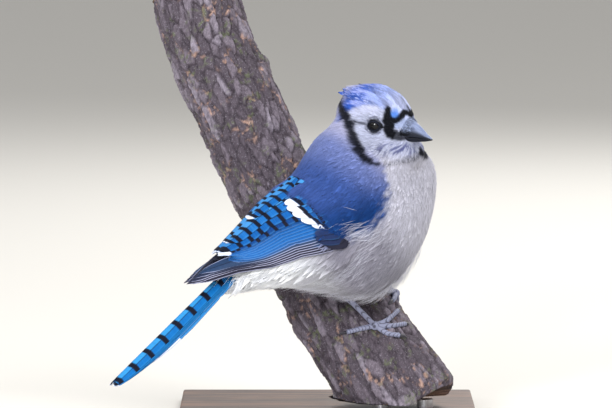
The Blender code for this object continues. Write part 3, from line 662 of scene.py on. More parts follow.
def coat_depth(points):
    """Depth of the coat in millimetres over points of the skin."""
    on_head = HEAD.local(points)
    far = np.linalg.norm(on_head - FACE_MIDDLE, axis=-1)
    return 0.7 + 1.3 * smoothstep(12, 34, far) + 0.7 * smoothstep(40, 62, far)


def press_dishes(points):
    for side, axes in EYES.items():
        local = axes.local(points)
        reach = np.hypot(local[:, 0] / DISH_SIZE[0], local[:, 2] / DISH_SIZE[1])
        near = (reach < 1.15) & (side * local[:, 1] > -5)
        limit = DISH_OUT - 1.0 * (1 - smoothstep(0.2, 0.5, reach)) + 3.6 * smoothstep(0.55, 1.15, reach)
        over = np.maximum(side * local[:, 1] - limit, 0) * near
        local[:, 1] -= side * over
        round_lids = np.hypot(local[:, 0] / LIDS_REACH[0], local[:, 2] / LIDS_REACH[1])
        ball = np.sqrt(np.maximum(EYE_RADIUS**2 - local[:, 0] ** 2 - local[:, 2] ** 2, 1))
        raised = (ball + 0.25) * smoothstep(1.9, 1.2, round_lids) * (round_lids > 0.9) * near
        local[:, 1] = side * np.maximum(side * local[:, 1], np.where(raised > 2, raised, -99))
        points = np.where(near[:, None], axes.world(local), points)
    return points


def draw_in(skin):
    points = points_of(skin)
    points = points - normals_of(skin) * (coat_depth(points) + PUFF - OPENING)[:, None] * MM
    move_points(skin, points)
    apply_modifier(skin, "even", "SMOOTH", factor=0.5, iterations=3)
    move_points(skin, press_dishes(points_of(skin)))
    smooth_shading(skin)


draw_in(SKIN)
depths = coat_depth(HEAD.world(np.array([(12, 0, 5), (-20, 0, 18)])))
print("skin drawn in by", depths.round(2), "mm at face and nape")

# %% The bill's outline, which the bristles follow too
GAP = 0.3
BILL_OUTLINE = np.array((
    # place along the head, top, mouth line, bottom, half width
    (7, 7.0, -4.6, -8.2, 5.4),
    (12, 6.3, -4.6, -7.9, 4.6),
    (17, 5.3, -4.5, -7.5, 3.9),
    (21, 3.4, -4.4, -7.0, 3.1),
    (25, 1.0, -4.3, -6.4, 2.3),
    (28.5, -1.6, -4.3, -5.8, 1.6),
    (31, -3.1, -4.3, -5.2, 1.0),
    (32.4, -4.0, -4.4, -4.8, 0.5),
), float)


def eased(table, place, column):
    """A smooth curve through a table's rows."""
    xs, ys = table[:, 0], table[:, column]
    slopes = np.gradient(ys, xs)
    row = np.clip(np.searchsorted(xs, place) - 1, 0, len(xs) - 2)
    width = xs[row + 1] - xs[row]
    t = np.clip((place - xs[row]) / width, 0, 1)
    a, b = ys[row], ys[row + 1]
    da, db = slopes[row] * width, slopes[row + 1] * width
    from_ends = (2 * t**3 - 3 * t**2 + 1) * a + (3 * t**2 - 2 * t**3) * b
    return from_ends + (t**3 - 2 * t**2 + t) * da + (t**3 - t**2) * db


print("bill outline:", len(BILL_OUTLINE), "sections")

# %% [markdown]
# A jay's markings are few and clear: a lavender crown and mantle, a white face and throat, and one
# black line that runs from the nape down the side of the neck and round the breast. Each mark is a
# stroke, a chain of places with a radius at each, told in the head's or body's own millimetres. How
# strongly a feather takes the mark depends on how far its place lies from the chain. The skin and the
# coat ask the same function, so bare skin never shows in a gap.


# %% A skin that points can be brought back to
class Surface:
    """A skin that points can be brought back to, with smooth normals."""

    def __init__(self, obj):
        self.points = points_of(obj)
        self.normals = normals_of(obj)
        self.faces = triangles_of(obj)
        self.tree = BVHTree.FromPolygons(self.points.tolist(), self.faces.tolist())

    def nearest(self, points):
        hits = [self.tree.find_nearest(Vector(point)) for point in points]
        places = np.array([hit[0] for hit in hits])
        corners = self.faces[[hit[2] for hit in hits]]
        far = np.linalg.norm(self.points[corners] - places[:, None], axis=2)
        weight = 1 / (far + 0.05 * MM)
        normals = np.sum(self.normals[corners] * weight[..., None], axis=1)
        return places, unit(normals)


SURFACE = Surface(SKIN)


# %% Colours of the plumage
def shade(red, green, blue):
    """A colour told on the common 0 to 255 scale, as the linear values that a shader takes."""
    value = np.array([red, green, blue], float) / 255
    return np.where(value <= 0.04045, value / 12.92, ((value + 0.055) / 1.055) ** 2.4)


CROWN = shade(142, 158, 214)
CROWN_FRONT = shade(186, 194, 232)
CROWN_BACK = shade(44, 92, 196)
CROWN_PALE = shade(172, 178, 224)
BROW = shade(194, 198, 226)
CHEEK = shade(188, 193, 217)
CHEEK_STREAK = shade(92, 96, 142)
EYE_SHADE = shade(142, 144, 184)
BLACK = shade(9, 12, 28)
LORE = shade(3, 5, 14)
SPOT = shade(84, 134, 222)
BRISTLE = shade(160, 174, 212)
SPOT_TOP = shade(150, 172, 226)
NAPE_BLUE = shade(172, 173, 206)
MANTLE_HIGH = shade(110, 124, 180)
MANTLE_MID = shade(54, 82, 150)
MANTLE_LOW = shade(8, 58, 124)
BREAST = shade(208, 208, 224)
# the belly and flanks are painted darker than the breast: painted shade, as the underside faces away
# from the lamps
SHADED_BELLY = shade(158, 157, 172)
SHADED_FLANK = shade(156, 154, 170)
UNDERTAIL = shade(244, 247, 255)
RUMP = shade(64, 112, 200)


def chain_mask(points, chain, soft):
    """How strongly each point takes a stroke: 1 inside its radius, 0 beyond a soft edge."""
    chain = np.asarray(chain, float)
    best = np.full(len(points), -1e9)
    for start, end in zip(chain[:-1], chain[1:]):
        line = end[:3] - start[:3]
        share = np.clip((points - start[:3]) @ line / max(line @ line, 1e-9), 0, 1)
        far = np.linalg.norm(points - (start[:3] + share[:, None] * line), axis=1)
        radius = start[3] + (end[3] - start[3]) * share
        best = np.maximum(best, radius - far)
    return smoothstep(-soft, soft, best)


# %% Strokes of the head, on its near side, each row a place and a radius
HEAD_STROKES = {
    "necklace": (
        (-24, 1, 12, 2.9), (-21.5, -7.5, 7, 3.1), (-16.5, -13.8, 1.8, 2.8), (-9.6, -20.1, -2.4, 2.6),
        (-3.0, -24.8, -6.2, 3.0), (2.2, -26.9, -9.8, 3.5), (6.4, -27.3, -13.4, 3.2),
        (9.8, -26.1, -16.0, 2.3), (12.6, -23.4, -17.2, 1.5), (14.4, -20.6, -17.6, 1.0),
    ),
    "thin": (
        (14.4, -20.6, -17.6, 1.0), (15.5, -17.8, -17.9, 1.0), (16.9, -11.1, -17.8, 1.2),
        (18.5, -3.1, -17.2, 2.1), (21.4, -0.6, -16.2, 2.3), (24.0, 2.4, -14.2, 1.8),
    ),
    "far": (
        (24.0, 4.6, -9.4, 1.0), (25.0, 5.0, -12.6, 1.8), (22, 11, -15, 2.2), (14, 17, -15.5, 2.9),
        (4, 21, -13, 3.3), (-5, 20.5, -8, 3.5), (-14, 15, -1, 3.6), (-21, 8, 7, 3.4), (-24, 1, 13, 3.2),
    ),
    "eye_line": (
        (-12.4, -14.8, 0.6, 0.7), (-6.7, -13.0, 0.4, 0.7), (-4.6, -11.3, 0.5, 0.9),
    ),
    "front_line": (
        (3.2, -8.6, -0.6, 0.8), (5.6, -7.6, -0.6, 1.1),
    ),
    "over_eye": (
        (1.4, -8.2, 4.2, 0.9), (-2.2, -9.4, 5.0, 1.2), (-5.6, -11, 3.8, 1.0),
    ),
    "gape": (
        (7.4, -7.0, -4.4, 1.6), (9.2, -5.4, -4.6, 2.3), (10.8, -4.8, -2.2, 1.6),
        (11.5, -4.2, -5.0, 2.1), (14.5, -2.9, -5.4, 1.5),
    ),
    "lore": (
        (5.3, -6.6, 9.2, 1.6), (6.3, -6.9, 7.0, 2.7), (6.9, -6.9, 3.8, 3.4), (7.3, -7.0, 0.6, 3.3),
        (7.5, -6.9, -2.7, 2.6), (9.4, -5.5, -3.2, 2.0), (8.8, -5.8, -4.8, 1.8),
    ),
    "bar": (
        (7.7, -6.5, 3.4, 2.2), (10.6, -4.8, 4.2, 1.9), (12.6, -3.4, 6.3, 1.9), (13.2, -2.5, 8.0, 1.8),
        (15.4, -1.2, 8.2, 1.7), (18.0, 0, 7.4, 1.6),
    ),
    "edge": (
        (14.1, -0.4, 12.9, 0.3), (16.5, 0, 10.6, 0.6), (18.1, 0, 7.8, 1.0),
    ),
    "spot": (
        (9.3, -5.0, 7.2, 1.9), (9.2, -4.6, 9.4, 1.7),
    ),
    "bristles": (
        (11.4, -4.4, 1.6, 2.2), (13.8, -2.8, 3.4, 2.0), (16.6, -1.3, 3.2, 1.8),
    ),
    "brow": (
        (3.0, -7.9, 4.6, 1.3), (2.0, -8.0, 7.2, 1.7), (-2, -8.9, 8.6, 1.9), (-7, -10.2, 7.6, 2.4),
        (-12, -11.2, 5.4, 2.7), (-15.2, -12.4, 3.4, 2.1),
    ),
}


def snapped(chain):
    """The same stroke with its places brought onto the skin."""
    chain = np.asarray(chain, float)
    places, _ = SURFACE.nearest(HEAD.world(chain[:, :3]))
    return np.column_stack([HEAD.local(places), chain[:, 3]])


def both_sides(points, chain, soft):
    """A stroke that the face has on its left and on its right alike."""
    mirrored = points * np.array((1, -1, 1))
    return np.maximum(chain_mask(points, chain, soft), chain_mask(mirrored, chain, soft))


RAYS_FROM = np.array((13, 0, -4), float)
STROKES = {name: snapped(chain) for name, chain in HEAD_STROKES.items()}


def blend(colour, other, share):
    """Colours at many points, mixed with another by a share at each point."""
    share = np.asarray(share, float)[:, None]
    return colour * (1 - share) + other * share


def noise_at(spots):
    return np.array([noise.noise(Vector(spot)) for spot in spots])


def soft_noise(points, scale, seed=0.0):
    """Smooth noise between 0 and 1 at points told in millimetres."""
    return noise_at(np.asarray(points) / scale + seed) * 0.5 + 0.5


def rays(on_head, count=9.0, run=11.0):
    """Noise drawn out in lines that run from the bill's root over the head, as its feathers do."""
    away = on_head - RAYS_FROM
    turn = np.arctan2(away[:, 1], away[:, 2])
    far = np.linalg.norm(away, axis=1) / run
    return noise_at(np.stack([count * np.cos(turn), count * np.sin(turn), far], axis=1)) * 0.5 + 0.5


def lid_shade(points):
    """The black skin round the lids, drawn out to a point at both corners of the eye."""
    dark = np.zeros(len(points))
    for side, axes in EYES.items():
        x, y, z = axes.local(points).T
        half = 3.7 * np.sqrt(np.maximum(1 - (x / 5.0) ** 2, 0)) * (1 - 0.25 * (np.abs(x) / 5.0) ** 2)
        dark = np.maximum(dark, smoothstep(0.35, -0.35, np.abs(z - 0.1) - half) * (side * y > 0))
    return dark * 0.97


def flow_streaks(points, flow, fine, seed=0.0):
    """Noise drawn out along the lie of the feathers."""
    along = np.sum(points * flow, axis=1, keepdims=True) * flow
    return soft_noise(points - along * 0.86, fine, seed)


# %% [markdown]
# Two broad fields lie under the strokes. On the body the mantle's blue meets the pale breast along a
# line that starts at the necklace and runs down in front of the wing. On the head the crown's blue
# ends above the brow. Both edges are broken up a little, as rows of soft feathers are.

# %% Fields of the body and the head
MANTLE_EDGE = np.array((
    # place along the body and height where blue gives way to pale
    (-70, 29), (-60, 31), (-43, 30), (-28, 22), (-19, 14), (-8, 6), (0, 3), (10, -1), (20, 0),
    (33, 7), (40, 17), (46, 23), (60, 30),
), float)
# strokes that the face has on both sides: name, colour, how soft the edge is, how much it covers
FACE_MARKS = (
    ("over_eye", EYE_SHADE, 0.7, 0.8),
    ("eye_line", BLACK, 0.6, 0.85),
    ("bristles", BRISTLE, 0.7, 0.85),
)
# the strokes that make up the black round the bill's root, with the same two numbers
DARK_MARKS = (
    ("lore", 0.6, 1.0),
    ("bar", 0.4, 1.0),
    ("edge", 0.4, 1.0),
    ("front_line", 0.5, 0.85),
    ("gape", 0.5, 0.9),
)
# behind this place the crown's edge falls faster than ahead of it
CROWN_TOP = -4
COLLAR_AT = -16.5
COLLAR_SIDE = 13.8


def body_colour(place, wobble):
    x, z = place[:, 0], place[:, 2]
    edge = np.interp(x, MANTLE_EDGE[:, 0], MANTLE_EDGE[:, 1])
    high = smoothstep(-5.0, 3.0, z - edge + 12 * (wobble - 0.5))
    mantle = blend(MANTLE_MID, MANTLE_HIGH, smoothstep(19, 39, x + 0.25 * z))
    mantle = blend(mantle, NAPE_BLUE, smoothstep(32, 47, x + 0.1 * z))
    mantle = blend(mantle, MANTLE_LOW, smoothstep(32, 12, z + 0.5 * x))
    mantle = blend(mantle, RUMP, smoothstep(-16, -40, x))
    # painted shade: the pale of the breast darkens down the belly and the lower flanks
    pale = blend(BREAST, SHADED_BELLY, smoothstep(30, 4, x))
    pale = blend(pale, SHADED_FLANK, smoothstep(15, -12, x) * smoothstep(-34, -10, z))
    pale = blend(pale, UNDERTAIL, smoothstep(-14, -34, x))
    return blend(pale, mantle, high)


def head_colour(place, wobble, streak, band, thin_rays):
    x, y, z = place.T
    side = np.abs(y)
    edge = 10.6 - np.where(x < CROWN_TOP, 0.045, 0.02) * (x - CROWN_TOP) ** 2
    crown_share = smoothstep(-1.1, 1.1, z - edge + 1.4 * (wobble - 0.5))
    crown = blend(CROWN, CROWN_FRONT, smoothstep(-2, 12, x))
    crest = blend(CROWN_BACK, CROWN_PALE, smoothstep(0.5, 0.62, band) * 0.75)
    crown = blend(crown, crest, smoothstep(-1, -14, x))
    crown = crown * (0.6 + 0.6 * smoothstep(0.36, 0.62, band))[:, None]
    throat = smoothstep(-6, -9.5, z) * smoothstep(3, 9, x)
    lined = smoothstep(0.5, 0.62, thin_rays) * (0.22 + 0.7 * throat)
    lined = lined + smoothstep(0.48, 0.7, streak) * 0.2
    cheek = blend(CHEEK, CHEEK_STREAK, lined)
    cheek = blend(cheek, BREAST, smoothstep(-12, -20, z))
    collar = COLLAR_AT + np.where(side > COLLAR_SIDE, 1.1, 0.75) * (side - COLLAR_SIDE)
    cheek = blend(cheek, NAPE_BLUE, smoothstep(1, -2.5, x - collar))
    return blend(cheek, crown, crown_share)


def face_marks(colour, face):
    """The strokes on both sides of the face, the black round the bill's root last."""
    for name, paint, soft, share in FACE_MARKS:
        colour = blend(colour, paint, both_sides(face, STROKES[name], soft) * share)
    dark = [both_sides(face, STROKES[name], soft) * share for name, soft, share in DARK_MARKS]
    return blend(colour, LORE, np.max(dark, axis=0))


def plumage(points, flow):
    """Colours of the plumage at points in metres, with the lie of the feathers there."""
    on_head = HEAD.local(points)
    wobble = soft_noise(on_head, 2.4, 3.0)
    streak = flow_streaks(on_head, flow @ HEAD.turn, 0.85)
    colour = body_colour(BODY.local(points), wobble)
    near_head = smoothstep(30, 24, np.linalg.norm(on_head - np.array((0, 0, 1)), axis=1))
    near_head = near_head * smoothstep(-19, -14, on_head[:, 2] + 0.25 * on_head[:, 0])
    thin_rays = rays(on_head, 34.0, 7.0)
    band = 0.6 * rays(on_head) + 0.4 * thin_rays
    colour = blend(colour, head_colour(on_head, wobble, streak, band, thin_rays), near_head)
    jitter = on_head + (wobble[:, None] - 0.5) * 2.2
    face = jitter * 0.35 + on_head * 0.65
    colour = blend(colour, BROW, both_sides(face, STROKES["brow"], 0.9) * 0.9)
    thin = chain_mask(jitter, STROKES["thin"], 1.0) * smoothstep(0.42, 0.6, streak) * 0.85
    collar = [chain_mask(jitter, STROKES[name], 0.9) for name in ("necklace", "far")]
    colour = blend(colour, BLACK, np.maximum(np.maximum(*collar), thin))
    colour = face_marks(colour, face)
    spot = blend(SPOT, SPOT_TOP, smoothstep(7.2, 10.4, on_head[:, 2]))
    spot = blend(spot, CROWN_FRONT, smoothstep(9.4, 11.6, on_head[:, 2]))
    colour = blend(colour, spot, both_sides(face, STROKES["spot"], 0.8))
    return colour * (1 - lid_shade(points)[:, None])


print("plumage fields and strokes are ready")

# %% [markdown]
# Feathers lie like tiles on a roof: away from the bill over the crown and cheeks, then down the neck
# and tailwards along the body. The lie is a field of directions. A feather starts at its root and is
# walked along the field in short steps, each step brought back to the skin, so long ones bend round
# the body as real ones do.

# %% The lie of the feathers
BILL_ROOT = np.array((15, 0, -2), float)
THROAT_ROOT = np.array((12, 0, -12), float)


def flow_at(points, normals):
    on_head = HEAD.local(points)
    from_bill = HEAD.direction(unit(on_head - BILL_ROOT))
    from_throat = HEAD.direction(unit(on_head - THROAT_ROOT))
    tailward = BODY.direction(np.array((-1, 0, 0), float))
    on_body = unit(tailward + 0.75 * from_throat)
    head_share = smoothstep(36, 22, np.linalg.norm(on_head, axis=1))[:, None]
    field = unit(from_bill) * head_share + on_body * (1 - head_share)
    field = field - np.sum(field * normals, axis=1, keepdims=True) * normals
    return unit(field)


# %% Even scatter of roots
# how many places are tried for each root, and the least distance squared, in spacings
TRIES = 4
CLOSEST = 0.8


def scatter(surface, spacing, keep, seed):
    """Roots over the skin, spaced in millimetres; keep(places) says where they may be."""
    random = np.random.default_rng(seed)
    corners = surface.points[surface.faces]
    edges = np.cross(corners[:, 1] - corners[:, 0], corners[:, 2] - corners[:, 0])
    areas = np.linalg.norm(edges, axis=1) / 2
    middle = corners.mean(axis=1)
    areas = areas * keep(middle)
    count = int(areas.sum() / (spacing * MM) ** 2 * TRIES)
    chosen = random.choice(len(areas), count, p=areas / areas.sum())
    a, b = random.random((2, count, 1))
    fold = (a + b) > 1
    a, b = np.where(fold, 1 - a, a), np.where(fold, 1 - b, b)
    first, second, third = corners[chosen].transpose(1, 0, 2)
    spots = first + (second - first) * a + (third - first) * b
    cells = {}
    roots = []
    scaled = spots / (spacing * MM)
    around = [(i, j, k) for i in (-1, 0, 1) for j in (-1, 0, 1) for k in (-1, 0, 1)]
    for index, (x, y, z) in enumerate(scaled.tolist()):
        cell = (math.floor(x), math.floor(y), math.floor(z))
        near = (cells.get((cell[0] + i, cell[1] + j, cell[2] + k), ()) for i, j, k in around)
        near = (spot for spots_there in near for spot in spots_there)
        if all((px - x) ** 2 + (py - y) ** 2 + (pz - z) ** 2 >= CLOSEST for px, py, pz in near):
            cells.setdefault(cell, []).append((x, y, z))
            roots.append(index)
    return spots[roots]


# %% Walking a feather over the skin
def walk(surface, roots, lengths, steps, seed, spread, leave=None, lean=0.0):
    """Centrelines over the skin: places, normals and directions at steps + 1 points of each feather.

    Where leave says so, a feather no longer bends with the skin but runs on straight."""
    random = np.random.default_rng(seed)
    places, normals = surface.nearest(roots)
    flow = flow_at(places, normals)
    turn = random.normal(0, math.radians(spread), len(roots)) + lean
    lines, ups, ways = [places], [normals], []
    for _ in range(steps):
        across = np.cross(normals, flow)
        heading = flow * np.cos(turn)[:, None] + across * np.sin(turn)[:, None]
        ways.append(heading)
        ahead = places + heading * (lengths / steps)[:, None] * MM
        nearest, upward = surface.nearest(ahead)
        onward = flow_at(nearest, upward)
        free = np.zeros(len(ahead), bool) if leave is None else leave(ahead)
        places = np.where(free[:, None], ahead, nearest)
        normals = np.where(free[:, None], normals, upward)
        flow = np.where(free[:, None], flow, onward)
        lines.append(places)
        ups.append(normals)
    ways.append(ways[-1])
    return np.stack(lines, 1), np.stack(ups, 1), np.stack(ways, 1)


# %% [markdown]
# One small feather is enough for the whole coat. It starts as a grid of three points across and five
# along, is pulled into a leaf, and gets a thin underside that shares its rim, so it is closed and has
# only 32 triangles. The soft edge of a real feather is its loose barbs; one barb is a thin spindle of
# twelve triangles. Thousands of copies are laid in numpy and joined to a few meshes.


# %% One leaf feather
def leaf_feather():
    deselect()
    bpy.ops.mesh.primitive_grid_add(x_subdivisions=2, y_subdivisions=4, size=2)
    leaf = bpy.context.object
    bpy.ops.object.mode_set(mode="EDIT")
    bpy.ops.mesh.select_all(action="SELECT")
    bpy.ops.mesh.duplicate()
    bpy.ops.mesh.flip_normals()
    shape = bmesh.from_edit_mesh(leaf.data)
    for vert in shape.verts:
        inner = abs(vert.co.x) < 0.1 and abs(vert.co.y) < 0.9
        if inner:
            vert.co.z = -0.5 if vert.select else 0.5
    bmesh.update_edit_mesh(leaf.data)
    bpy.ops.mesh.select_all(action="SELECT")
    bpy.ops.mesh.remove_doubles(threshold=0.001)
    bpy.ops.object.mode_set(mode="OBJECT")
    return leaf


# %% One barb
def barb_spindle():
    deselect()
    bpy.ops.mesh.primitive_cylinder_add(vertices=3, radius=1, depth=1, end_fill_type="TRIFAN")
    spindle = bpy.context.object
    points = points_of(spindle)
    ends = np.hypot(points[:, 0], points[:, 1]) < 0.01
    along = np.where(ends, np.sign(points[:, 2]), np.sign(points[:, 2]) * 0.4) * 0.5
    move_points(spindle, np.stack([points[:, 0], along * 2, points[:, 1]], axis=1))
    recalculate(spindle)
    return spindle


def pattern_of(obj):
    """Arrays of a prototype: across, along from 0 to 1, height and faces. The object is then removed."""
    points = points_of(obj)
    faces = [tuple(face.vertices) for face in obj.data.polygons]
    bpy.data.objects.remove(obj)
    quads = np.array([face for face in faces if len(face) == 4], np.int32).reshape(-1, 4)
    threes = np.array([face for face in faces if len(face) == 3], np.int32).reshape(-1, 3)
    along = (points[:, 1] - points[:, 1].min()) / np.ptp(points[:, 1])
    across, height = points[:, 0], points[:, 2]
    return SimpleNamespace(across=across, along=along, height=height, quads=quads, threes=threes)


LEAF = pattern_of(leaf_feather())
BARB = pattern_of(barb_spindle())
print("leaf:", len(LEAF.quads) * 2, "triangles, barb:", len(BARB.threes) + 2 * len(BARB.quads))


# %% [markdown]
# Down looks soft because light slips between its threads and no single feather shows a hard side. So
# each copy is shaded with the skin's own direction, only slightly rounded, as if it were part of one
# cushion.

# %% Laying a thousand copies
# how far a copy's shading turns outwards over its width and over its length
ROUNDED = 0.22
ARCHED = 0.3
LEAF_OUTLINE = ((0, 0.25, 0.5, 0.75, 1), (0.45, 0.88, 1.0, 0.86, 0.22))
HEAD_REACH = 26


def profile(along, kind):
    """Half width of a leaf along its length, as a share of its widest place."""
    if kind == "barb":
        return np.ones_like(along)
    return np.interp(along, *LEAF_OUTLINE)


def lay(pattern, lines, ups, ways, width, thick, lift, droop, kind="leaf"):
    """Points and shading normals of all copies, each bent along its centreline and lifted."""
    steps = lines.shape[1] - 1
    at = pattern.along * steps
    low = np.minimum(np.floor(at).astype(int), steps - 1)
    part = (at - low)[None, :, None]
    centre = lines[:, low] * (1 - part) + lines[:, low + 1] * part
    up = unit(ups[:, low] * (1 - part) + ups[:, low + 1] * part)
    way = unit(ways[:, low] * (1 - part) + ways[:, low + 1] * part)
    side = unit(np.cross(way, up))
    facing = up + (ROUNDED * pattern.across)[:, None] * side
    facing = facing + (ARCHED * (pattern.along - 0.5))[:, None] * way
    facing = unit(facing) * np.where((pattern.height < 0) & (kind == "leaf"), -1, 1)[:, None]
    across = pattern.across * profile(pattern.along, kind)
    rise = lift[0][:, None] + (lift[1] - lift[0])[:, None] * pattern.along ** 0.8
    if kind == "leaf":
        rise = rise + thick * pattern.height - droop * width[:, None] * (pattern.across**2)
        out = across[None] * width[:, None]
    else:
        taper = 1 - 0.55 * pattern.along
        rise = rise + pattern.height * thick * taper
        out = across[None] * width[:, None] * taper
    places = centre + side * (out * MM)[..., None] + up * (rise * MM)[..., None]
    return np.concatenate([places, facing], axis=-1)


def strands(lines, ups, ways, widths, thick, low, high):
    """Single barbs laid along their centrelines, from a low root to a high tip."""
    return lay(BARB, lines, ups, ways, widths, thick, (low, high), 0, "barb")


def unwrap(points):
    """Places of roots on an unwrap of the skin: round the body's or head's own axis, and along it."""
    on_head = HEAD.local(points)
    on_body = BODY.local(points)
    head = np.linalg.norm(on_head, axis=1) < HEAD_REACH
    body_turn = np.arctan2(on_body[:, 1], on_body[:, 2] - 5)
    turn = np.where(head, np.arctan2(on_head[:, 1], on_head[:, 2]), body_turn)
    along = np.where(head, 0.76 + on_head[:, 0] / 60 * 0.22 + 0.1, (on_body[:, 0] + 85) / 150 * 0.72)
    return np.stack([0.5 + turn / math.tau * 0.98, np.clip(along, 0.01, 0.99)], axis=1)


PATCH = 0.003


def coat_piece(name, pattern, laid, colours, roots):
    """One mesh of many copies, with a colour at every point and a baking map of small patches."""
    copies, each = laid.shape[:2]
    points, facing = laid[..., :3], laid[..., 3:]
    base = (np.arange(copies) * each)[:, None, None]
    quads = (pattern.quads[None] + base).reshape(-1, 4)
    threes = (pattern.threes[None] + base).reshape(-1, 3)
    obj, loops = mesh_from_arrays(name, points.reshape(-1, 3), quads, threes)
    keep_colours(obj, "plume", colours)
    spot = unwrap(roots)
    across = pattern.across / max(np.ptp(pattern.across), 1)
    patch = np.stack([across, pattern.along - 0.5], axis=1) * PATCH
    uv = (spot[:, None] + patch[None]).reshape(-1, 2)
    keep_map(obj, "OFBake", uv[loops])
    obj.data.normals_split_custom_set_from_vertices(facing.reshape(-1, 3).tolist())
    return obj


# %% [markdown]
# The finish of a small feather is soft and matt, with a faint sheen. Its colour comes from the
# attribute at its points; fine noise breaks it up, and a faint bump of the same kind keeps it from
# looking like plastic.


# %% Finish of the coat
def coat_finish(name, sheen=0.06):
    finish = Finish(name, 0.85, Sheen_Weight=sheen, Sheen_Roughness=0.6, Specular_IOR_Level=0.15)
    colour = finish.attribute("plume")
    fine = finish.noise(2600, 2)
    share = finish.math("MULTIPLY_ADD", fine, 0.5, -0.1)
    dark = finish.mix(0.22, colour, (0.02, 0.022, 0.04))
    finish.colour(finish.mix(share, colour, dark))
    finish.bump(finish.noise(1800, 2), 0.00008, 0.35)
    return finish


COAT = coat_finish("plumage")
SKIN_FINISH = coat_finish("skin_under_plumage", 0.0)


# %% The skin's own colours
# painted shade: the skin, seen only in gaps between feathers, takes the plumage's colours made darker,
# as if deep in the coat's shade
SKIN_PAINTED_SHADE = 0.8


def paint_skin():
    points, normals = SURFACE.points, SURFACE.normals
    colours = plumage(points, flow_at(points, normals)) * SKIN_PAINTED_SHADE
    keep_colours(SKIN, "plume", colours)
    corners = np.empty(len(SKIN.data.loops), np.int32)
    SKIN.data.loops.foreach_get("vertex_index", corners)
    keep_map(SKIN, "OFBake", unwrap(points)[corners])
    dress(SKIN, SKIN_FINISH, "torso", "torso", "neck", "head")


paint_skin()

# %% [markdown]
# The coat is laid in zones, from the finest at the bill to the largest on the belly. A zone says how
# close the roots stand, how long and wide the feathers are, and how far their tips rise. No feather
# grows on the bill, inside the lids or under the folded wing.

# %% Where feathers may grow
LID_SIZE = (4.6, 3.4)
# angle round the wing, and the place where the coat's last tips lie on the wing's coverts
COAT_END = np.array((
    (-5, -7), (10, -8), (23, -6), (32, -5), (39, -5), (51, -6), (64, -5), (72, -4), (79, -2), (90, -2),
), float)


def wing_edge(on_body):
    """How far ahead of the wing's bare part places lie, their angle, and that of the wing's edge."""
    x, y, z = on_body.T
    width, height, middle, start = shell_section(x)
    turn = np.arctan2((z - middle) / height, np.abs(y) / width)
    return x - np.interp(np.degrees(turn), COAT_END[:, 0], COAT_END[:, 1]) - 6, turn, start


def over_wing(roots):
    """How much higher the last feathers ahead of the wing rise, in millimetres."""
    ahead, turn, start = wing_edge(BODY.local(roots))
    low = smoothstep(0.6, 0.25, turn - start)
    return (2.4 + 1.8 * low) * smoothstep(9, 1, ahead) * (turn > start - 0.1)


def on_wing(points):
    """Where feathers run on straight over the wing instead of bending down behind its front."""
    ahead, turn, start = wing_edge(BODY.local(points))
    return (ahead < 1) & (turn > start) & (ahead > -30)


def growth(points):
    """1 where the coat grows and 0 elsewhere."""
    on_head = HEAD.local(points)
    on_body = BODY.local(points)
    allowed = np.ones(len(points), bool)
    for side, axes in EYES.items():
        local = axes.local(points)
        inside = np.hypot((local[:, 0] - 0.7) / LID_SIZE[0], local[:, 2] / LID_SIZE[1]) < 1
        allowed &= ~(inside & (side * local[:, 1] > 0))
    ahead, turn, start = wing_edge(on_body)
    x = on_body[:, 0]
    allowed &= ~((ahead < 0) & (x > -84) & (turn > start + 0.12))
    allowed &= x > -80
    bill = (on_head[:, 0] > 11.5) & (np.hypot(on_head[:, 1] / 5.2, (on_head[:, 2] + 1.3) / 7) < 1)
    return (allowed & ~bill).astype(float)


def face_distance(points):
    on_head = HEAD.local(points)
    return np.linalg.norm(on_head - np.array((13, 0, -2)), axis=1)


# %% The zones
ZONES = (
    # name, nearest and farthest from the bill, spacing, length, half width, tip lift, barbs to a feather
    ("face", 0, 15, 0.95, 3.0, 0.45, 0.55, 11),
    ("cheek", 15, 25, 1.15, 4.8, 0.55, 0.8, 14),
    ("nape", 25, 42, 1.6, 7.5, 0.85, 1.1, 17),
    ("body", 42, 400, 2.15, 11.5, 1.4, 1.3, 24),
)
PIECE_TRIANGLES = 190000
# where along a feather its colours are read
COLOUR_AT = (0.35, 0.62, 0.9)


def zone_coat(index, near, far, spacing, length, half, lift, barbs):
    def keep(points):
        reach = face_distance(points)
        return growth(points) * (reach >= near) * (reach < far)

    roots = scatter(SURFACE, spacing, keep, 100 + index)
    random = np.random.default_rng(200 + index)
    lengths = length * random.uniform(0.85, 1.15, len(roots))
    lengths = lengths + 1.6 * over_wing(roots)
    lines, ups, ways = walk(SURFACE, roots, lengths, 4, 300 + index, 6, on_wing)
    widths = half * random.uniform(0.85, 1.15, len(roots))
    root_lift = np.full(len(roots), -0.35)
    over = over_wing(roots)
    tip_lift = lift * random.uniform(0.75, 1.15, len(roots)) + over
    points = lay(LEAF, lines, ups, ways, widths, 0.05, (root_lift + 0.5 * over, tip_lift), 0.06)
    colours = feather_colours(LEAF, lines, ways, random, len(roots))
    return (roots, points, colours), barb_layer(index, roots, length, lift, barbs)


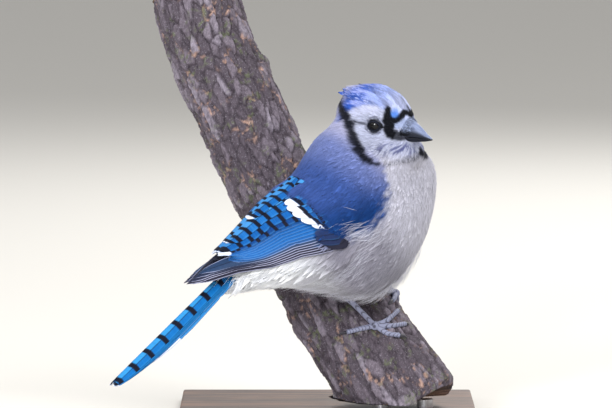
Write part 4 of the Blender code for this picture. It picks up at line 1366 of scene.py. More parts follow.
def feather_colours(pattern, lines, ways, random, count, contrast=1.0, own=False):
    """Colours of all points of a zone's feathers, darker at the root and shaft, paler at the edge.

    A feather's colour comes from the skin's map along its length, or, if it is its own, from its
    root."""
    steps = lines.shape[1] - 1
    table = []
    for share in (0, 0, 0) if own else COLOUR_AT:
        at = share * steps
        low = min(int(at), steps - 1)
        spot = lines[:, low] * (1 - (at - low)) + lines[:, low + 1] * (at - low)
        table.append(plumage(spot, ways[:, low]))
    table = np.stack(table, 1)
    share = np.clip((pattern.along - COLOUR_AT[0]) / (COLOUR_AT[2] - COLOUR_AT[0]) * 2, 0, 2)
    low = np.minimum(share.astype(int), 1)
    part = (share - low)[None, :, None]
    colours = table[:, low] * (1 - part) + table[:, low + 1] * part
    tint = random.normal(1, 0.07 * contrast, count)[:, None, None]
    edge = np.abs(pattern.across) ** 2
    light = 0.84 + 0.16 * pattern.along + 0.1 * contrast * (edge - 0.4)
    return np.clip(colours * tint * light[None, :, None], 0, 1)


def barb_layer(index, roots, length, lift, barbs):
    random = np.random.default_rng(400 + index)
    spots = np.repeat(roots, barbs, axis=0)
    spots = spots + random.normal(0, 0.35 * length / 4, spots.shape) * MM
    lengths = length * random.uniform(0.5, 0.95, len(spots))
    lengths = lengths + 1.6 * over_wing(spots)
    lines, ups, ways = walk(SURFACE, spots, lengths, 2, 500 + index, 11, on_wing)
    thick = 0.045 + 0.008 * length
    widths = np.full(len(spots), thick)
    over = over_wing(spots)
    low = lift * random.uniform(-0.2, 0.4, len(spots)) + 0.5 * over
    high = lift * random.uniform(0.8, 1.45, len(spots)) + over
    points = strands(lines, ups, ways, widths, thick * 0.8, low, high)
    colours = feather_colours(BARB, lines, ways, random, len(spots), 2.6)
    return spots, points, colours


# %% [markdown]
# Four things stand out from this even coat. The crest is made of longer feathers that leave the head
# at the nape. Stiff bristles point forwards over the nostrils. The coverts under the tail are long and
# loose. And wherever the flank meets the wing, or the belly the legs, single plumes have slipped out of
# place: these wisps are what makes the coat look soft.


# %% Crest
# behind this place of the head a crest feather leaves the skin
CREST_FREE = -19


def past_crest(places):
    return HEAD.local(places)[:, 0] < CREST_FREE


def crest_layer():
    def keep(points):
        x, _, z = HEAD.local(points).T
        return ((x > -18) & (x < 6) & (z > 10.5 + 0.02 * (x - CROWN_TOP) ** 2)).astype(float)

    roots = scatter(SURFACE, 1.5, keep, 31)
    random = np.random.default_rng(32)
    back = smoothstep(6, -14, HEAD.local(roots)[:, 0])
    lengths = (5 + 6 * back) * random.uniform(0.85, 1.1, len(roots))
    lines, ups, ways = walk(SURFACE, roots, lengths, 4, 33, 4, past_crest)
    widths = (0.9 + 0.55 * back) * random.uniform(0.8, 1.15, len(roots))
    lift = (np.full(len(roots), -0.2), 0.9 + 0.6 * back * random.uniform(0.5, 1.3, len(roots)))
    points = lay(LEAF, lines, ups, ways, widths, 0.06, lift, 0.12)
    colours = feather_colours(LEAF, lines, ways, random, len(roots), 1.5, own=True)
    spots = np.repeat(roots, 12, axis=0) + random.normal(0, 0.7, (len(roots) * 12, 3)) * MM
    lengths = np.repeat(lengths, 12) * random.uniform(0.5, 1.05, len(spots))
    tops = np.repeat(lift[1], 12) * random.uniform(0.9, 1.5, len(spots))
    lines, ups, ways = walk(SURFACE, spots, lengths, 3, 34, 6, past_crest)
    widths = np.full(len(spots), 0.1)
    barbs = strands(lines, ups, ways, widths, 0.08, np.full(len(spots), 0.1), tops)
    tones = feather_colours(BARB, lines, ways, random, len(spots), 3.0)
    return (roots, points, colours), (spots, barbs, tones)


# %% Bristles over the nostrils
BRISTLES = 1700
# where their roots may stand: along the head, out to the side and up
BRISTLE_ROOTS = ((9.5, 16.5), (0.5, 5.6), (-3.6, 6.6))


def bristle_layer():
    random = np.random.default_rng(51)
    count = BRISTLES
    side = random.choice((-1, 1), count)
    start = np.stack([random.uniform(low, high, count) for low, high in BRISTLE_ROOTS], axis=1)
    start[:, 1] = np.minimum(start[:, 1], 5.6 - 0.35 * np.maximum(start[:, 2] - 2, 0) ** 1.3)
    length = random.uniform(2.2, 4.6, count)
    aside, up = random.normal(-0.02, 0.08, count), random.normal(-0.10, 0.12, count)
    forward = unit(np.stack([np.ones(count), aside, up], axis=1))
    lines, ups = [], []
    for share in (0, 0.35, 0.7, 1.0):
        spot = start + forward * (length * share)[:, None]
        half = eased(BILL_OUTLINE, spot[:, 0], 4)
        culmen = eased(BILL_OUTLINE, spot[:, 0], 1)
        lip = eased(BILL_OUTLINE, spot[:, 0], 2)
        height = np.clip((spot[:, 2] - lip) / (culmen - lip), 0, 0.985)
        out = half * np.sqrt(1 - height**2)
        lift = (0.3 + 0.5 * share) * smoothstep(21, 15, spot[:, 0])
        lift = lift + 0.7 * smoothstep(15, 10, spot[:, 0])
        up = np.minimum(spot[:, 2], culmen) + lift * height
        lines.append(np.stack([spot[:, 0], out + lift * (1 - 0.4 * height), up], axis=1))
        ups.append(unit(np.stack([0.1 + 0 * out, 1 - height, height + 0.05], 1)))
    flip = np.stack([np.ones(count), side, np.ones(count)], axis=1)[:, None]
    lines = HEAD.world(np.stack(lines, 1) * flip)
    ups = HEAD.direction(np.stack(ups, 1) * flip)
    ways = unit(np.gradient(lines, axis=1))
    widths = random.uniform(0.11, 0.2, count)
    points = strands(lines, ups, ways, widths, 0.14, np.full(count, 0.2), np.full(count, 0.55))
    clumps = smoothstep(0.47, 0.56, soft_noise(start, 1.3, 8.0)) * 0.8
    single = random.uniform(0, 1, count) ** 3
    tones = blend(BRISTLE, LORE, np.maximum(clumps, single))
    tones = blend(tones, LORE, smoothstep(-0.2, -2.2, start[:, 2]))
    light = (0.75 + 0.35 * BARB.along)[None, :, None]
    return lines[:, 0], points, np.clip(tones[:, None] * light, 0, 1)


# %% Coverts under the tail
# behind this place of the body a covert leaves the skin
UNDERTAIL_FREE = -71


def past_undertail(places):
    return BODY.local(places)[:, 0] < UNDERTAIL_FREE


def undertail_layers():
    def keep(points):
        x, _, z = BODY.local(points).T
        edge = np.interp(x, MANTLE_EDGE[:, 0], MANTLE_EDGE[:, 1])
        return ((x < -22) & (x > -62) & (z < edge - 3)).astype(float)

    roots = scatter(SURFACE, 3.0, keep, 61)
    random = np.random.default_rng(62)
    lengths = 17 * random.uniform(0.8, 1.15, len(roots))
    lines, ups, ways = walk(SURFACE, roots, lengths, 4, 63, 8, past_undertail)
    widths = 2.6 * random.uniform(0.85, 1.2, len(roots))
    lift = (np.full(len(roots), 0.2), 2.3 * random.uniform(0.8, 1.3, len(roots)))
    points = lay(LEAF, lines, ups, ways, widths, 0.08, lift, 0.12)
    leaves = (roots, points, feather_colours(LEAF, lines, ways, random, len(roots), 0.6, own=True))
    spots = np.repeat(roots, 9, axis=0) + random.normal(0, 1.6, (len(roots) * 9, 3)) * MM
    lengths = 15 * random.uniform(0.5, 1.1, len(spots))
    lines, ups, ways = walk(SURFACE, spots, lengths, 3, 64, 12, past_undertail)
    tops = random.uniform(1.8, 3.6, len(spots))
    widths = np.full(len(spots), 0.13)
    points = strands(lines, ups, ways, widths, 0.1, np.full(len(spots), 0.5), tops)
    barbs = (spots, points, feather_colours(BARB, lines, ways, random, len(spots), 0.8, own=True))
    return leaves, barbs


# %% Wisps
WISPS = (
    # place along the body, angle round it, how many, length, lift, how far they lean upwards
    (6, 2, 60, 14, 4.6, 34),
    (2, 10, 26, 13, 4.2, 26),
    (12, -6, 40, 14, 3.6, 22),
    (0, -12, 40, 13, 3.0, 8),
    (-12, -20, 50, 14, 3.0, 6),
    (-28, -26, 50, 16, 3.0, 4),
    (26, -70, 60, 13, 4.5, -8),
    (14, -74, 90, 14, 5.5, -6),
    (2, -70, 90, 15, 5.8, -4),
    (-12, -66, 80, 16, 5.4, 0),
    (-26, -60, 60, 16, 4.6, 0),
)


def wisp_layer():
    random = np.random.default_rng(71)
    starts, lengths, lifts, turns = [], [], [], []
    for place, angle, count, length, lift, upwards in WISPS:
        for side in (-1, 1):
            spread = random.normal(0, 1, (count, 2)) * (3.6, 6)
            x = place + spread[:, 0]
            width, height, middle, _ = shell_section(x)
            turn = np.radians(angle + spread[:, 1])
            at = np.stack([x, side * width * np.cos(turn), middle + height * np.sin(turn)], 1)
            starts.append(BODY.world(at))
            lengths.append(length * random.uniform(0.6, 1.15, count))
            lifts.append(lift * random.uniform(0.45, 1.15, count))
            turns.append(np.radians(np.full(count, upwards)) * side)
    starts, lengths, lifts = np.concatenate(starts), np.concatenate(lengths), np.concatenate(lifts)
    lines, ups, ways = walk(SURFACE, starts, lengths, 4, 72, 11, on_wing, np.concatenate(turns))
    widths = np.full(len(starts), 0.095)
    points = strands(lines, ups, ways, widths, 0.08, lifts * 0.3, lifts)
    colours = feather_colours(BARB, lines, ways, random, len(starts), 0.8, own=True)
    colours = colours * 0.3 + shade(222, 224, 240) * 0.7
    return starts, points, colours


def make_coat():
    crest_leaves, crest_barbs = crest_layer()
    leaves, fines = [crest_leaves], [bristle_layer(), wisp_layer(), crest_barbs]
    under_leaves, under_barbs = undertail_layers()
    leaves.append(under_leaves)
    fines.append(under_barbs)
    print("crest", len(leaves[0][0]), "undertail", len(under_leaves[0]), "wisps", len(fines[1][0]))
    for index, (name, *zone) in enumerate(ZONES):
        leaf, fine = zone_coat(index, *zone)
        leaves.append(leaf)
        fines.append(fine)
        print("zone", name, "feathers", len(leaf[0]), "barbs", len(fine[0]))
    made = []
    for pattern, layers, name in ((LEAF, leaves, "coat_leaf"), (BARB, fines, "coat_barb")):
        roots, points, colours = (np.concatenate([layer[k] for layer in layers]) for k in range(3))
        each = len(pattern.quads) * 2 + len(pattern.threes)
        share = max(1, math.ceil(len(roots) * each / PIECE_TRIANGLES))
        for number, rows in enumerate(np.array_split(np.arange(len(roots)), share)):
            piece = coat_piece(f"{name}_{number + 1}", pattern, points[rows], colours[rows], roots[rows])
            made.append(dress(piece, COAT, "torso"))
    return made


COAT_PIECES = make_coat()
total = sum(len(triangles_of(piece)) for piece in COAT_PIECES)
print("coat:", total, "triangles in", len(COAT_PIECES), "pieces")


# %% [markdown]
# Flight feathers are stiff vanes on a shaft. In the folded wing they lie in a fan on the shell that
# the pads already use: six dusky primaries at the lower edge, seven narrow secondaries above them and
# four broad barred feathers at the back. Each one's lower edge lies on top of its lower neighbour. To
# keep every vane clear of the next, its height falls by one layer for each neighbour that it passes,
# counted by where that place lies in the fan.

# %% One vane, modelled once
VANE_ACROSS = 8
VANE_ALONG = 44


def vane_grid():
    deselect()
    bpy.ops.mesh.primitive_grid_add(x_subdivisions=VANE_ACROSS, y_subdivisions=VANE_ALONG, size=2)
    grid = bpy.context.object
    points = points_of(grid)
    quads = np.array([tuple(face.vertices) for face in grid.data.polygons], np.int32)
    bpy.data.objects.remove(grid)
    return SimpleNamespace(across=points[:, 0], along=(1 - points[:, 1]) / 2, quads=quads)


VANE = vane_grid()


def outline(along, length, half, tip_round, base=0.5):
    """Half width of a vane at shares of its length: a narrow base, full vanes and a rounded tip."""
    from_tip = (1 - along) * length
    width = half * (base + (1 - base) * smoothstep(0, 0.3, along))
    round_off = np.sqrt(np.clip(1 - (1 - np.clip(from_tip / tip_round, 0, 1)) ** 2, 0, 1))
    return width * np.maximum(round_off, 0.03)


def nicks(along, across, length, random, count):
    """Small splits of the vane's edge, as shares of its width that they take away."""
    cut = np.zeros_like(along)
    for _ in range(count):
        at, side = random.uniform(0.25, 0.97), random.choice((-1, 1))
        near = np.abs((along - at) * length + 0.9 * (1 - np.abs(across)))
        cut += np.clip(1 - near / 0.55, 0, 1) * random.uniform(0.08, 0.2) * (across * side > 0.6)
    return np.minimum(cut, 0.3)


# %% Joining vanes to one piece
class Plumes:
    """Collects vanes and makes one closed, thin mesh of them, with their maps and marks."""

    def __init__(self, name):
        self.name = name
        self.points, self.normals, self.uvs, self.marks, self.tones = [], [], [], [], []

    def add(self, points, normals, length, mark, tone):
        self.points.append(points)
        self.normals.append(normals)
        self.uvs.append(np.stack([VANE.across * 0.5 + 0.5, (1 - VANE.along) * length / 100], axis=1))
        self.marks.append(np.tile(np.array(mark, float), (len(points), 1)))
        self.tones.append(np.tile(np.array(tone, float), (len(points), 1)))

    def make(self, thickness):
        copies, each = len(self.points), len(VANE.across)
        base = (np.arange(copies) * each)[:, None, None]
        quads = (VANE.quads[None] + base).reshape(-1, 4)
        points = np.concatenate(self.points)
        first = points[quads[0]]
        facing = np.cross(first[1] - first[0], first[2] - first[0]) @ self.normals[0][quads[0][0]]
        quads = quads if facing > 0 else quads[:, ::-1]
        obj, loops = mesh_from_arrays(self.name, points, quads, np.empty((0, 3), np.int32))
        keep_colours(obj, "mark", np.concatenate(self.marks))
        keep_colours(obj, "tone", np.concatenate(self.tones))
        keep_map(obj, "vane", np.concatenate(self.uvs)[loops])
        strip = []
        for index in range(copies):
            column = (index + 0.5 + VANE.across * 0.44) / copies
            strip.append(np.stack([column, 0.01 + 0.98 * (1 - VANE.along)], axis=1))
        keep_map(obj, "OFBake", np.concatenate(strip)[loops])
        apply_modifier(obj, "wall", "SOLIDIFY", thickness=thickness * MM, offset=0.0)
        crisp_rims(obj)
        return obj


# %% The fan of the folded wing
WING_SPACING = np.array((
    # place along the body, and how far the fan is spread there
    (-86, 0.8), (-79, 1.3), (-69, 2.0), (-57, 2.0), (-45, 2.6), (-28, 3.5), (0, 4.9), (20, 5.2),
), float)
FAN_START = 2.5
FAN_STEPS = 11
LAYER = 0.42
WING_LIFT = 1.0
BARRED_FROM = 0.5
# between which places a feather's root sinks under the coverts, and how deep
BARRED_SUNK = (-12, 2, 1.8)
FAN_SUNK = (-19, 0, 4.6)
# each feather's place in the fan, tip, half width, white tip, bars, dusk, period of bars, pale share
PRIMARIES = (
    (0.000, -77, 3.6, 0.0, 0.0, 1.00, 5, 0.3),
    (0.035, -80, 3.8, 0.0, 0.0, 1.00, 5, 0.5),
    (0.070, -80.5, 3.8, 0.0, 0.0, 1.00, 5, 0.6),
    (0.105, -79, 3.8, 0.0, 0.0, 0.97, 5, 0.6),
    (0.140, -76, 3.8, 0.0, 0.0, 0.94, 5, 0.6),
    (0.180, -72.5, 4.0, 0.0, 0.0, 0.86, 5, 0.7),
)
SECONDARIES = (
    (0.222, -56, 4.1, 0.0, 0.0, 0.45, 5, 0.5),
    (0.264, -54.5, 4.2, 0.0, 0.0, 0.16, 5, 0.45),
    (0.306, -54, 4.2, 0.0, 0.0, 0.08, 5, 0.45),
    (0.350, -54.5, 4.2, 0.0, 0.0, 0.06, 5, 0.4),
    (0.394, -55.5, 4.3, 0.0, 0.0, 0.06, 5, 0.35),
    (0.438, -57, 4.4, 2.5, 0.0, 0.06, 5, 0.3),
    (0.482, -58, 4.5, 5.0, 0.2, 0.08, 5, 0.2),
)
BARRED = (
    (0.545, -57.5, 5.2, 4.5, 0.8, 0.0, 5.4, 0.1),
    (0.655, -56, 6.2, 0.7, 1.0, 0.0, 6.4, 0.3),
    (0.80, -49, 6.8, 0.7, 1.0, 0.0, 6.4, 0.5),
    (0.955, -31, 7.0, 2.0, 1.0, 0.0, 5.8, 0.4),
)
FAN = PRIMARIES + SECONDARIES + BARRED


def fan_arcs(place):
    """Arcs of all the fan's feathers at places along the body, one column for each feather."""
    spacing = np.interp(place, WING_SPACING[:, 0], WING_SPACING[:, 1])
    shares = np.array([row[0] for row in FAN])
    return FAN_START + spacing[:, None] * FAN_STEPS * shares[None]


def fan_layer(place, arc):
    """Which feather of the fan an arc belongs to, as a number that runs on between them."""
    arcs = fan_arcs(place)
    numbers = np.arange(len(FAN), dtype=float)
    low = arcs[:, 0] + (arcs[:, 1] - arcs[:, 0]) * -4
    high = arcs[:, -1] + (arcs[:, -1] - arcs[:, -2]) * 4
    grid = np.column_stack([low, arcs, high])
    marks = np.concatenate([[-4], numbers, [len(FAN) + 3]])
    return np.array([np.interp(a, row, marks) for a, row in zip(arc, grid)])


def fan_feather(plumes, side, index, random):
    share, tip, half, white, bars, dusk, period, pale = FAN[index]
    barred = share > BARRED_FROM
    root = 4 if barred else 2
    tip = tip + random.uniform(-0.5, 0.5)
    length = root - tip
    place = root - length * VANE.along
    centre = fan_arcs(place)[:, index]
    width = outline(VANE.along, length, half, 5.5 if barred else 9)
    width = width * (1 - nicks(VANE.along, VANE.across, length, random, 3))
    squeeze = 0.5 + 0.5 * np.clip((place + 88) / 34, 0, 1)
    arc = centre + VANE.across * width * squeeze
    layer = np.clip(fan_layer(place, arc) - index, -2.6, 2.6)
    curl = 0.18 * (1 - VANE.across**2) + random.uniform(-0.05, 0.05)
    start, end, depth = BARRED_SUNK if barred else FAN_SUNK
    buried = smoothstep(start, end, place)
    height = WING_LIFT - depth * buried - LAYER * layer * (1 - 0.75 * buried) + curl
    points, normals = wing_points(place, arc, height, side)
    tone = (period / 10, pale, random.random())
    plumes.add(points, normals, length, (white / 10, bars, dusk), tone)


# %% [markdown]
# Over the roots of the long feathers lie the greater coverts, each with a white tip and a black bar
# ahead of it, and lower down the three dusky feathers of the thumb. They are the same vane, shorter
# and rounder.

# %% Coverts of the wing
# arc round the wing, tip place, root place, half width, lift, white tip, bars, dusk, pale share
GREATER_COVERTS = (
    (13.5, -10.0, 4, 3.2, 1.4, 1.6, 0.8, 0.1, 0.2),
    (17.0, -13.0, 6, 3.7, 2.0, 3.6, 1.0, 0.0, 0.2),
    (21.4, -15.0, 7, 4.2, 2.2, 4.4, 1.0, 0.0, 0.25),
    (26.2, -15.6, 6, 4.3, 2.2, 4.4, 1.0, 0.0, 0.25),
    (31.0, -15.2, 6, 4.3, 2.2, 4.4, 1.0, 0.0, 0.3),
    (35.6, -13.6, 6, 4.0, 2.2, 4.2, 1.0, 0.0, 0.3),
)
THUMB = (
    (3.6, -15.5, 1, 3.8, 2.4, 0.0, 0.0, 1.0, 0.0),
    (7.0, -17, 1, 4.2, 2.7, 0.0, 0.0, 0.7, 0.0),
    (10.4, -15.5, 1, 4.2, 2.9, 0.0, 0.0, 0.55, 0.0),
)
COVERT_LAYER = 0.4


def covert_row(plumes, side, rows, period, sunk, random):
    arcs = np.array([row[0] for row in rows], float)
    for middle, tip, root, half, lift, white, bars, dusk, pale in rows:
        length = root - tip
        place = root - length * VANE.along
        width = outline(VANE.along, length, half, half * 1.25, 0.7)
        width = width * (1 - nicks(VANE.along, VANE.across, length, random, 2))
        arc = middle + VANE.across * width
        step = (arcs[-1] - arcs[0]) / (len(arcs) - 1)
        layer = np.clip((arc - middle) / step, -1.5, 1.5)
        rise = -sunk + (lift + sunk) * smoothstep(0, 0.75, VANE.along)
        rise = rise - 0.4 * smoothstep(0.75, 1, VANE.along)
        height = rise - COVERT_LAYER * layer + 0.25 * (1 - VANE.across**2)
        points, normals = wing_points(place, arc, height, side)
        tone = (period / 10, pale + random.uniform(-0.05, 0.05), random.random())
        plumes.add(points, normals, length, (white / 10, bars, dusk), tone)


# %% [markdown]
# The finish of a vane is drawn in its own map: u runs across from the lower to the upper edge, v runs
# from the tip to the root in tenths of a metre. Bars cross it at an even period with a little
# wander, the tip is white for as long as the feather's mark says, the shaft is a dark line, and
# fine slanting lines are the barbs. Marks kept on the points say how barred or dusky a feather is.

# %% Finish of the vanes
AZURE = shade(8, 90, 164)
AZURE_DEEP = shade(2, 48, 108)
AZURE_PALE = shade(64, 140, 206)
DUSK = shade(34, 34, 50)
DUSK_EDGE = shade(160, 162, 190)
BAR = shade(10, 14, 30)
TIP_WHITE = shade(222, 228, 242)
# painted shade: the grey-blue that the white tips take towards their edges, where one covert lies over
# the next
TIP_EDGE_PAINTED_SHADE = shade(104, 124, 168)
# where the shaft lies across a vane, how far its barbs run forwards, and how soft a bar's edge is
SHAFT_AT = 0.42
BARB_SLANT = 3.2
BAR_SOFT = 0.035


def vane_places(finish):
    """What a vane's pattern is drawn from: its map, and the marks and tones kept at its points."""
    u, v = finish.uv("vane")
    length = finish.times(v, 100)
    from_shaft = finish.minus(u, SHAFT_AT)
    aside = finish.math("ABSOLUTE", from_shaft)
    white, bars, dusk = finish.split("mark")
    period, pale, chance = finish.split("tone")
    return SimpleNamespace(
        u=u, length=length, from_shaft=from_shaft, aside=aside,
        across=finish.math("ABSOLUTE", finish.math("MULTIPLY_ADD", u, 2, -1)),
        slant=finish.math("MULTIPLY_ADD", aside, BARB_SLANT, length),
        wander=finish.noise(420, 2),
        white=white, bars=bars, dusk=dusk, period=period, pale=pale, chance=chance,
    )


def barb_noise(finish, vane, fine, wide):
    """Noise drawn out along the barbs, which run slanting from the shaft."""
    place = finish.join(finish.times(vane.slant, fine), finish.times(vane.u, wide), vane.chance)
    return finish.noise(1.0, 1, place)


def ground_colour(finish, vane, deep, middle, pale, edge_light):
    """The blue of a vane, paler on some barbs, on the inner half and at the rim."""
    barb = barb_noise(finish, vane, 3.6, 1.2)
    tone = finish.plus(vane.pale, finish.math("MULTIPLY_ADD", barb, 0.5, -0.25))
    inner = finish.times(finish.step(vane.from_shaft, -0.04, 0.04), finish.times(vane.bars, 0.4))
    tone = finish.plus(tone, inner)
    colour = finish.mix(finish.step(tone, 0.0, 0.45), deep, middle)
    colour = finish.mix(finish.step(tone, 0.4, 0.95), colour, pale)
    return finish.mix(finish.times(finish.step(vane.across, 0.74, 0.97), edge_light), colour, pale)


def black_bars(finish, vane, bar_share):
    """1 on the bars that cross a vane at its own period, bent and moved a little."""
    moved = finish.plus(finish.math("MULTIPLY_ADD", vane.wander, 1.8, -0.9), vane.length)
    moved = finish.plus(moved, finish.times(vane.aside, 1.6))
    moved = finish.plus(moved, finish.times(vane.chance, 6))
    cycle = finish.math("FRACT", finish.math("DIVIDE", moved, finish.times(vane.period, 10)))
    centre = finish.math("ABSOLUTE", finish.minus(cycle, 0.5))
    bar = finish.minus(1, finish.step(centre, bar_share / 2 - BAR_SOFT, bar_share / 2 + BAR_SOFT))
    return finish.times(bar, finish.step(vane.bars, 0.05, 0.6))


def over_dusk(finish, vane, colour):
    """Lays a dusky vane's grey and its pale rim over the blue, less so far from its tip."""
    rim = finish.times(finish.step(vane.across, 0.84, 0.94), finish.step(vane.pale, 0.08, 0.25))
    not_all_dusk = finish.minus(1, finish.step(vane.dusk, 0.96, 0.99))
    blue_part = finish.times(finish.step(vane.length, 54, 74), not_all_dusk)
    share = finish.times(vane.dusk, finish.minus(1, finish.times(blue_part, 0.9)))
    return finish.mix(share, colour, finish.mix(rim, DUSK, DUSK_EDGE))


def over_tip(finish, vane, colour):
    """Lays the white tip, greyed towards its edges as painted shade, over a vane that has one, and a
    black band ahead of it if it is barred.
    """
    reach = finish.minus(finish.plus(vane.length, finish.times(vane.wander, 0.8)), 0.4)
    beyond = finish.minus(reach, finish.times(vane.white, 10))
    has_white = finish.step(vane.white, 0.02, 0.06)
    tip = finish.times(finish.minus(1, finish.step(beyond, -0.3, 0.3)), has_white)
    off_band = finish.math("ABSOLUTE", finish.minus(beyond, 1.1))
    band = finish.times(finish.minus(1, finish.step(off_band, 0.7, 1.1)), has_white)
    colour = finish.mix(finish.times(band, finish.step(vane.bars, 0.3, 0.7)), colour, BAR)
    # painted shade: the white greys towards the vane's edges
    tip_edge_shade = finish.times(finish.step(vane.across, 0.7, 1.0), 0.5)
    return finish.mix(tip, colour, finish.mix(tip_edge_shade, TIP_WHITE, TIP_EDGE_PAINTED_SHADE))


def vane_finish(name, deep, middle, pale, bar_share=0.36, edge_light=0.28):
    finish = Finish(name, 0.55, Specular_IOR_Level=0.12)
    vane = vane_places(finish)
    colour = ground_colour(finish, vane, deep, middle, pale, edge_light)
    colour = finish.mix(black_bars(finish, vane, bar_share), colour, BAR)
    colour = over_dusk(finish, vane, colour)
    shaft = finish.minus(1, finish.step(vane.aside, 0.022, 0.05))
    colour = finish.mix(finish.times(shaft, 0.6), colour, BAR)
    # painted shadow: a thin dark line along both edges of every vane, where it meets the next one
    colour = finish.mix(finish.times(finish.step(vane.across, 0.955, 0.99), 0.55), colour, BAR)
    colour = over_tip(finish, vane, colour)
    barb = barb_noise(finish, vane, 9.0, 1.0)
    shadow = finish.math("MULTIPLY_ADD", barb, 0.55, -0.05)
    finish.colour(finish.mix(finish.times(shadow, 0.5), colour, BAR))
    finish.bump(finish.plus(finish.times(barb, 0.5), finish.times(shaft, 1.2)), 0.00012, 0.6)
    return finish


WING_FINISH = vane_finish("wing_vanes", AZURE_DEEP, AZURE, AZURE_PALE)


# %% Two wings
def make_wing(side, name):
    random = np.random.default_rng(40 + side)
    plumes = Plumes("vanes_" + name)
    for index in range(len(FAN)):
        fan_feather(plumes, side, index, random)
    covert_row(plumes, side, THUMB, 5, 4.2, random)
    covert_row(plumes, side, GREATER_COVERTS, 5.4, 3.2, random)
    return dress(plumes.make(0.2), WING_FINISH, "wing", name)


WINGS = [make_wing(-1, "wing_right"), make_wing(1, "wing_left")]
print("wings:", [len(triangles_of(wing)) for wing in WINGS], "triangles")

# %% [markdown]
# The closed tail is twelve long feathers, stacked like a roof with the middle pair on top: each side
# falls away from the ridge, so from the side one broad barred feather shows over a thin pack of edges.
# The outer ones show as white edges and tips below.

# %% The tail's fan
TAIL_ROOT = -41
TAIL_SINK = 0.006
TAIL_ROOF = 0.55
TAIL_TIPS = (-148, -147.5, -145, -141.5, -136, -128)
TAIL_MIDDLE = (3.2, 3.4)
TAIL_STEP = 0.28
TAIL_HALF = 4.7
TAIL_LAYER = 0.2
TAIL_BLUES = (shade(2, 54, 118), shade(6, 98, 168), shade(52, 142, 204))
TAIL_FINISH = vane_finish("tail_vanes", *TAIL_BLUES, 0.27, 0.25)


def tail_points(place, across, height):
    sink = -TAIL_SINK * (place - TAIL_ROOT)
    up = TAIL_HEIGHT + sink - TAIL_ROOF * (np.hypot(across, 0.8) - 0.8) + height
    return BODY.world(np.stack([place, across, up], axis=-1))


def tail_feather(plumes, side, pair, tip, random):
    centre = TAIL_MIDDLE[pair > 0] + TAIL_STEP * pair + (0.9 if pair == 5 else 0)
    layer = -TAIL_LAYER * (2 * pair + (side > 0))
    length = TAIL_ROOT - tip
    place = TAIL_ROOT - length * VANE.along
    spread = 0.45 + 0.55 * np.minimum(1, VANE.along * 1.6)
    width = outline(VANE.along, length, TAIL_HALF, 30, 0.35)
    width = width * (1 - nicks(VANE.along, VANE.across, length, random, 5))
    across = side * (centre * spread) + VANE.across * width
    if pair:
        across = side * np.maximum(side * across, 0.3)
    height = layer + 0.25 * (1 - (VANE.across + 0.16) ** 2)
    points = tail_points(place, across, height)
    normals = np.broadcast_to(BODY.direction(np.array((0, 0, 1.0))), points.shape)
    white = 0.6 if pair == 0 else 1 + 0.9 * pair**2
    mark = (white / 10, 1.0 if pair == 0 else 0.12, 0.0 if pair < 4 else 0.15)
    plumes.add(points, normals, length, mark, (1.1, 0.42 + 0.05 * pair, 0.1 + random.random() * 0.06))


def make_tail():
    random = np.random.default_rng(77)
    plumes = Plumes("vanes_tail")
    for pair, tip in enumerate(TAIL_TIPS):
        for side in (-1, 1):
            tail_feather(plumes, side, pair, tip, random)
    return dress(plumes.make(0.16), TAIL_FINISH, "tail", "tail")


TAIL = make_tail()
print("tail:", len(triangles_of(TAIL)), "triangles")


# %% [markdown]
# A jay's eye is a dark, wet ball that fills the lids. The iris is so deep a brown that only its rim
# shows. The ball gets its colours at its points, and a clear coat that mirrors the small lamp. Round
# it the lids are a narrow black rim of tiny beads, a ring bent to the ball's own curve.

# %% Eyes
EYE_SIDES = ((-1, "eye_right"), (1, "eye_left"))
PUPIL = (1.5, 1.7)
IRIS_RIM = (2.3, 2.8)


def eye_finish():
    wet = {"Coat_Weight": 1.0, "Coat_Roughness": 0.02, "Coat_IOR": 1.33}
    finish = Finish("wet_dark_eye", 0.03, Specular_IOR_Level=0.0, **wet)
    colour = finish.attribute("iris")
    fibres = finish.noise(900, 3)
    finish.colour(finish.mix(finish.times(fibres, 0.5), colour, (0.002, 0.002, 0.003)))
    return finish


def make_eye(side, name, finish):
    deselect()
    bpy.ops.mesh.primitive_uv_sphere_add(segments=64, ring_count=40, radius=1)
    ball = bpy.context.object
    ball.name = "ball_" + name
    points = points_of(ball) * EYE_RADIUS
    turned = np.stack([points[:, 0], points[:, 2] * side, points[:, 1]], axis=1)
    move_points(ball, EYES[side].world(turned))
    close_smoothly(ball)
    far = np.hypot(turned[:, 0], turned[:, 2])
    iris = blend(shade(3, 3, 4), shade(10, 7, 8), smoothstep(*PUPIL, far))
    iris = blend(iris, shade(4, 4, 5), smoothstep(*IRIS_RIM, far))
    keep_colours(ball, "iris", iris)
    return dress(ball, finish, "eye", name)


# %% Lids
LID_OPEN = (2.75, 2.05)
LID_WIDE = 0.52
LID_THICK = 0.42
RING_THICK = 0.25
LID_BEADS = 44


def lid_finish():
    finish = Finish("black_lid", 0.7, Specular_IOR_Level=0.04)
    beads = finish.node("ShaderNodeTexVoronoi", {"Scale": 2600.0})
    finish.colour(finish.mix(beads, (0.004, 0.005, 0.009), (0.02, 0.023, 0.036)))
    finish.bump(beads, 0.0001, 0.8)
    return finish


